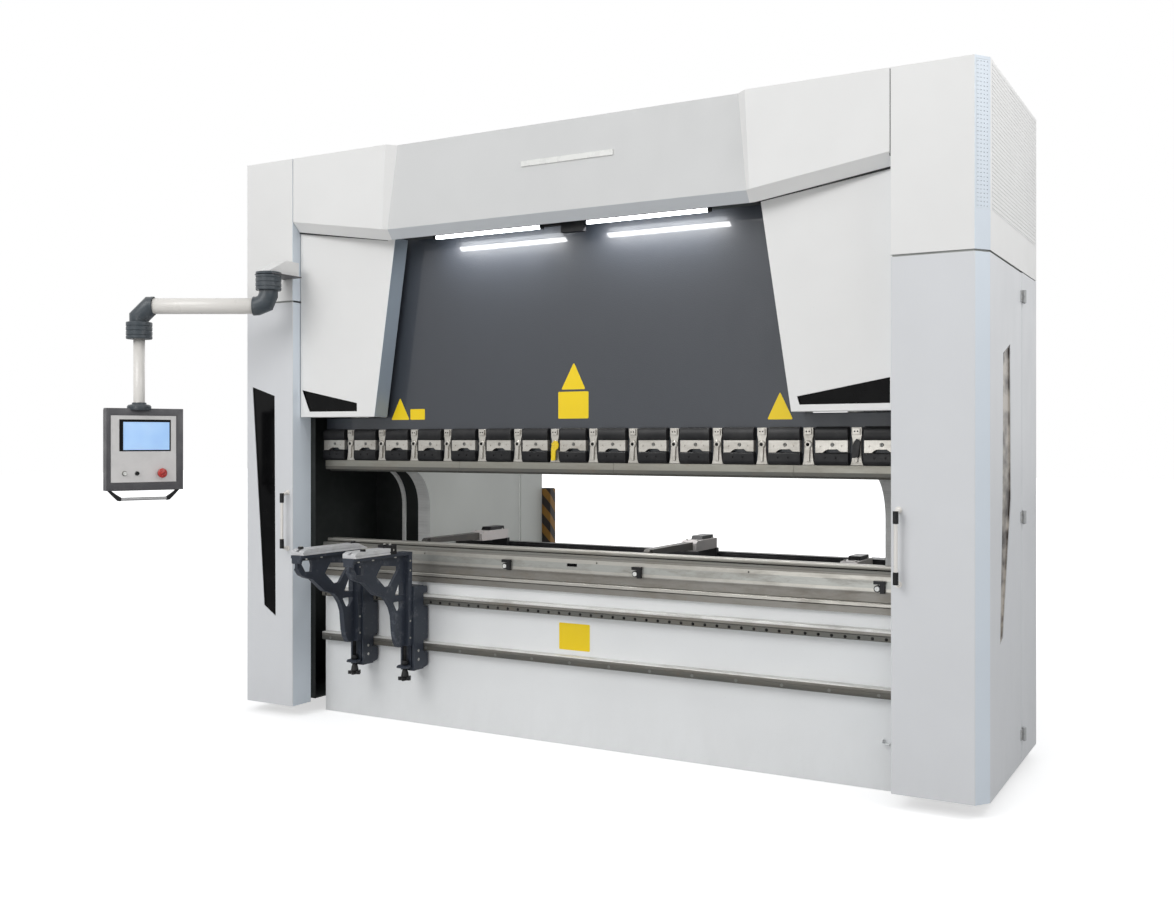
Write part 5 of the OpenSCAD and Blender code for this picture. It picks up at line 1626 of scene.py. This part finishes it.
def cylinders():
    x, y = 1290, 270
    for side, name in SIDES:
        body = Shape()
        body.lathe((side * x, y, 0), UPWARD,
                   [(112, 1640), (118.5, 1646), (118.5, 1696), (115, 1700), (115, 2290),
                    (113, 2292), (113, 2298), (115, 2300), (115, 2382), (108, 2390), (95, 2391),
                    (95, 2428), (90, 2430)], sides=56)
        body.box(side * x - 70, y + 60, 1740, side * x + 70, 390, 2330)
        body.cut().pin("z", (side * x, y, 1630), 2130, 42.3, sides=48)
        for dx, dy in ring_of(12, 106, 15):
            body.pin("z", (side * x + dx, y + dy, 1641), 1632, 7, "screw", 12)
        piece("cylinder_" + name, body, "machine", "blue_grey", 1.2,
              once(side, "cylinders"))
        stem = Shape()
        stem.lathe((side * x, y, 0), UPWARD, [(42, 1490), (42, 2104), (40, 2108)], sides=56)
        piece("piston_rod_" + name, stem, "ram", "rod", 0,
              once(side, "piston_rods"))
        foot = Shape()
        foot.lathe((side * x, y, 0), UPWARD, [(43.5, 1490), (43.5, 1506), (42.4, 1508)],
                   sides=48)
        piece("rod_foot_" + name, foot, "ram", "screw", 0.5)
        pipes = Shape()
        pz = 2390
        x0, x1 = sorted((side * (x - 80), side * (x + 60)))
        pipes.box(x0, y - 65, pz, x1, y + 65, pz + 110)
        pipes.pin("z", (side * (x + 20), y, pz + 110), pz + 190, 24, "screw")
        pipes.lathe((side * (x + 20), y, pz), (0, 0, 1), [(30, 110), (30, 128), (24, 131)], "alloy",
                    6)
        px = side * (x - 60)
        pipes.pin("y", (px, y + 60, pz + 40), TANK.y0, 13.8, "screw")
        for py in (y + 66, TANK.y0 - 22):
            pipes.lathe((px, py, pz + 40), REARWARD, [(19, 0), (20, 2), (20, 20), (19, 22)],
                        "dark_steel", 6)
        for dz in (26, 84):
            for bx in (x0 + 22, x1 - 22):
                pipes.pin("y", (bx, y - 64, pz + dz), y - 72, 8, "screw", 6)
        piece("valve_block_" + name, pipes, "machine", "alloy_x", 1.2,
              once(side, "hydraulic_pipes"))
        guide = Shape()
        g0, g1 = sorted((side * (IN_FACE + 10), side * (IN_FACE + 70)))
        guide.box(g0, 315.3, 1290, g1, 390, 1460)
        guide.box(g0 - 6, 339, 1270, g1 + 6, 390, 1290)
        for z in (1320, 1375, 1430):
            guide.pin("x", (side * (IN_FACE + 70), 352, z), side * (IN_FACE + 75), 8, "screw", 6)
        piece("ram_guide_" + name, guide, "machine", "dark_steel", 1.5,
              once(side, "ram_guides"))


def power_pack():
    z = FRAME.z1 - 80
    tank = Shape()
    tank.box(TANK.x0, TANK.y0, z - 440, TANK.x1, TANK.y0 + 500, z)
    for x in range(-1100, 1101, 440):
        tank.box(x - 6, TANK.y0, z - 430, x + 6, TANK.y0 + 506, z - 10)
    for x in (-700, 700):
        tank.lathe((x, TANK.y0 + 500, z - 220), REARWARD, [(150, 0), (150, 8), (146, 10)],
                   "dark_steel", 48)
        for dx, dz in ring_of(12, 134):
            tank.pin("y", (x + dx, TANK.y0 + 508, z - 220 + dz), TANK.y0 + 518, 9, "screw", 6)
    tank.box(-40, TANK.y0 + 500, z - 330, 0, TANK.y0 + 508, z - 110, "window")
    piece("oil_tank", tank, "machine", "pack", 3.0, ["power_pack"])
    motor = Shape()
    y, mz = 860, z + 136
    motor.lathe((150, y, mz), RIGHTWARD, [(110, 0), (112, 2), (112, 408), (104, 410)], sides=48)
    motor.lathe((556, y, mz), RIGHTWARD, [(121, 0), (121, 24), (104, 42), (60, 44)], "black", 48)
    motor.box(260, y - 60, mz + 100, 420, y + 60, mz + 150, "pack")
    motor.box(200, 770, z, 520, 950, z + 40, "base")
    piece("pump_motor", motor, "machine", "pack", 2.0)
    fin = Shape()
    fin.lathe((176, y, mz), RIGHTWARD, [(113, 0), (121, 0.5), (121, 4.5), (113, 5)], sides=32)
    repeated("motor_fins", fin, 22, (17, 0, 0), "machine", "pack")
    pump = Shape()
    pump.lathe((18, y, mz), RIGHTWARD, [(40, 0), (68, 4), (68, 80), (58, 84), (58, 100), (70, 104),
                                        (70, 132)], sides=40)
    pump.box(40, 800, z, 140, 920, z + 86, "dark_steel")
    pump.tube(rounded_path([(60, 790, z + 2), (60, 740, z + 2), (60, 740, z + 120),
                            (60, 800, z + 120)], 40, 6), 14, "screw", 16)
    pump.lathe((-500, 870, z), UPWARD, [(60, 0), (60, 12), (46, 14), (46, 48), (50, 50),
                                           (50, 58), (46, 60)], "black", 40)
    pump.lathe((-760, 870, z), UPWARD, [(44, 0), (44, 10), (34, 12), (34, 90), (38, 92),
                                           (38, 118), (30, 122)], "screw", 32)
    piece("pump_and_filters", pump, "machine", "dark_steel", 1.0)


def electric_cabinet():
    box = Shape()
    x0, y0, z0, x1, y1, z1 = spot("electric_cabinet")
    middle = (x0 + x1) / 2
    box.box(x0, y0, z0, x1, y1, z1)
    box.cut().box(x0 + 28, y1 - 7, z0 + 38, x1 - 28, y1 + 9, z1 - 38)
    piece("cabinet_case", box, "machine", "cover", 4.0, ["electric_cabinet"], 3)
    door = Shape()
    door.box(x0 + 32, y1 - 8, z0 + 42, x1 - 32, y1 - 0.5, z1 - 42)
    for z in (z0 + 160, (z0 + z1) / 2, z1 - 160):
        door.pin("z", (x1 - 29, y1 - 6, z - 30), z + 30, 5.5, "black", 20)
    door.box(x0 + 58, y1 - 3, 1130, x0 + 84, y1 + 5, 1290, "black")
    door.cut().box(x0 + 64, y1 - 2, 1150, x0 + 78, y1 + 9, 1230)
    door.lathe((x0 + 71, y1 - 2, 1266), REARWARD, [(9, 0), (9, 8), (7, 9)], "screw", 24)
    door.lathe((middle, y1 - 2, 1690), REARWARD, [(38, 0), (38, 3), (36, 4)], "yellow", 40)
    door.prism("z", [(middle - 7, y1 + 1), (middle + 7, y1 + 1), (middle + 5, y1 + 12),
                     (middle - 5, y1 + 12)], 1660, 1720, "red")
    piece("cabinet_door", door, "machine", "door", 1.6)
    for name, z, rows in (("cabinet_vents", 460, 12), ("cabinet_vents_upper", 1800, 6)):
        # Dark strips for the vent slots: painted shade.
        vent = Shape()
        vent.box(middle - 70, y1 - 1.2, z, middle + 70, y1 - 0.2, z + 6)
        repeated(name, vent, 1, (0, 0, 0), "machine", "painted_shade_dark", rows=rows,
                 row_step=(0, 0, 16))


def guards():
    """Rear guards in folded sheet, and the striped posts with their masts."""
    x, end = IN_FACE, REAR + 250
    for side, name in SIDES:
        guard = Shape()
        plan = [(x + 60, end), (x, end), (x, REAR)]
        guard.prism("z", bent_sheet(mirrored(side, plan), 12 * -side, 14), 60, 1900)
        guard.cut().box(side * x - 20, REAR + 60, 1500, side * x + 20, REAR + 190, 1760)
        piece("rear_guard_" + name, guard, "machine", "frame", 1.5,
              once(side, "rear_guards"))
        mesh = Shape()
        cx = side * x + side * 6
        for i in range(8):
            y = REAR + 68 + i * 16
            mesh.pin("z", (cx, y, 1502), 1758, 2.5, sides=8)
        for i in range(16):
            z = 1508 + i * 16
            mesh.pin("y", (cx - side * 3, REAR + 62, z), REAR + 188, 2.5, sides=8)
        piece("guard_mesh_" + name, mesh, "machine", "dark_steel", 0)
        post = Shape()
        p0, p1 = sorted((side * (x - 70), side * x))
        tall, mast = 1078, spot("guard_posts").z1
        post.box(p0, end, 4, p1, end + 60, tall - 5)
        post.box(p0 + 4, end + 4, tall - 9, p1 - 4, end + 56, tall, "black")
        post.box(p0, end, 0, p1, end + 60, 8, "base")
        m0, m1 = sorted((side * (x + 23), side * (x + 45)))
        post.box(m0, end, tall, m1, end + 40, mast, "tube")
        post.box(m0 - 0.4, end - 0.4, tall + 4, m1 + 0.4, end + 6, mast + 0.4, "black")
        for z in (220, 860):
            post.pin("y", ((p0 + p1) / 2, end + 59, z), end + 60, 9, "screw", 24)
        piece("striped_post_" + name, post, "machine", "stripes", 3.0,
              once(side, "guard_posts"))


def back_gauge():
    """Rails with covered screws, the carriages and the beam."""
    rail = IN_FACE - 120
    rails = Shape()
    for side in BOTH:
        c = side * rail
        rails.prism("y", [(c - 50, 540), (c + 50, 540), (c + 50, 612), (c + 44, 620), (c - 44, 620),
                          (c - 50, 612)], 306, REAR - 110)
        rails.prism("y", [(c - 15, 620), (c + 15, 620), (c + 15, 627), (c + 11, 630), (c + 15, 634),
                          (c + 15, 640), (c - 15, 640), (c - 15, 634), (c - 11, 630),
                          (c - 15, 627)], 326, REAR - 120, "screw")
        rails.box(c - 70, 306, 480, c + 70, 320, 640)
        for dx in (-52, 52):
            for z in (505, 600):
                rails.pin("y", (c + dx, 319, z), 328, 9, "screw", 6)
    piece("gauge_rail_beams", rails, "machine", "base", 1.5, ["gauge_rails"])
    bolt = Shape()
    for x in (rail, -rail):
        bolt.lathe((x, 360, 636), UPWARD, [(5.5, 3), (5.5, 4.3)], sides=12)
    repeated("gauge_rail_screws", bolt, 15, (0, 80, 0), "machine", "dark_steel")
    gauge = Shape()
    for side in BOTH:
        c = side * rail
        gauge.box(c - 60, 1080, 624, c + 60, 1240, 700)
        gauge.prism("x", [(1080, 700), (1140, 700), (1140, 818), (1132, 826), (1080, 826)], c - 35,
                    c + 35)
        gauge.prism("x", [(1140, 700), (1220, 700), (1140, 800)], c - 8, c + 8)
        gauge.cut().box(c - 15.4, 1060, 600, c + 15.4, 1260, 640.5)
        for y in (1100, 1220):
            for dx in (-44, 44):
                gauge.pin("z", (c + dx, y, 699), 708, 9, "screw", 6)
    gauge.pin("x", (50 - rail, 1150, 670), rail - 50, 20, "screw", 32)
    piece("gauge_cross_carriage", gauge, "gauge_carriage", "blue_grey", 1.8,
          ["gauge_carriages"])
    beam = Shape()
    half = IN_FACE - 15
    z = spot("gauge_beam").z0
    tall = spot("gauge_beam").z1 - z
    outline = [(1030, z), (1079.7, z), (1079.7, z + tall), (1030, z + tall), (1030, z + 96),
               (1022, z + 94), (1022, z + 74), (1030, z + 72), (1030, z + 32), (1022, z + 30),
               (1022, z + 12), (1030, z + 10)]
    beam.prism("x", outline, -half, half)
    beam.tint("black", lambda c: c.z > z + 71)
    beam.cut().box(-half - 9, 1048, z + tall - 7, half + 9, 1060, z + tall + 9)
    beam.box(-half, 1028, z, -half + 6, 1079.7, z + tall, "black")
    beam.box(half - 6, 1028, z, half, 1079.7, z + tall, "black")
    piece("gauge_cross_beam", beam, "gauge_beam", "alloy_x", 0.8, ["gauge_beam"])
    for name, x, drop in (("left", -924, 0), ("mid", 310, 0), ("right", 1090, 62)):
        finger = Shape()
        finger.prism("x", [(770, 850), (782, 846), (1018, 846), (1018, 896), (790, 896),
                           (770, 884)], x - 40, x + 40)
        finger.prism("x", [(860, 895), (1000, 895), (996, 914), (872, 914)], x - 28, x + 28,
                     "black")
        finger.prism("x", [(345, 868), (345, 890), (772, 890), (772, 852)], x - 22, x + 22,
                     "finger_dark")
        finger.prism("x", [(320, 868), (350, 868), (350, 890), (332, 890), (320, 881)], x - 14,
                     x + 14, "finger_dark")
        for y in (560, 640):
            finger.cut().pin("z", (x, y, 860), 899, 8)
        for y in (808, 980):
            for dx in (-26, 26):
                finger.pin("z", (x + dx, y, 895), 901, 6, "screw", 12)
        finger.moved(Matrix.Translation((0, 0, -drop)))
        top = 848 - drop
        finger.prism("x", oblong(996, z + 2, 1021.7, top), x - 48, x + 48, "black")
        piece("gauge_stop_" + name, finger, "gauge_finger_" + name, "finger", 1.2,
              ["gauge_finger_" + name])


for make in (aim_camera, studio, hood, lamps, covers, tower_caps, tower_backs, doors, door_handles,
             ram, clamps, punch, lever, labels, bed, table, die_clamps, rails, support_bars,
             support_knobs, pendant_bracket, pendant_arm, pendant_drop, panel, handle_bar,
             buttons, frames, cylinders, power_pack, electric_cabinet, guards, back_gauge, hinges):
    make()
for support, edge_x in SUPPORTS:
    support_carriage(support, edge_x)
    support_arm(support, edge_x)
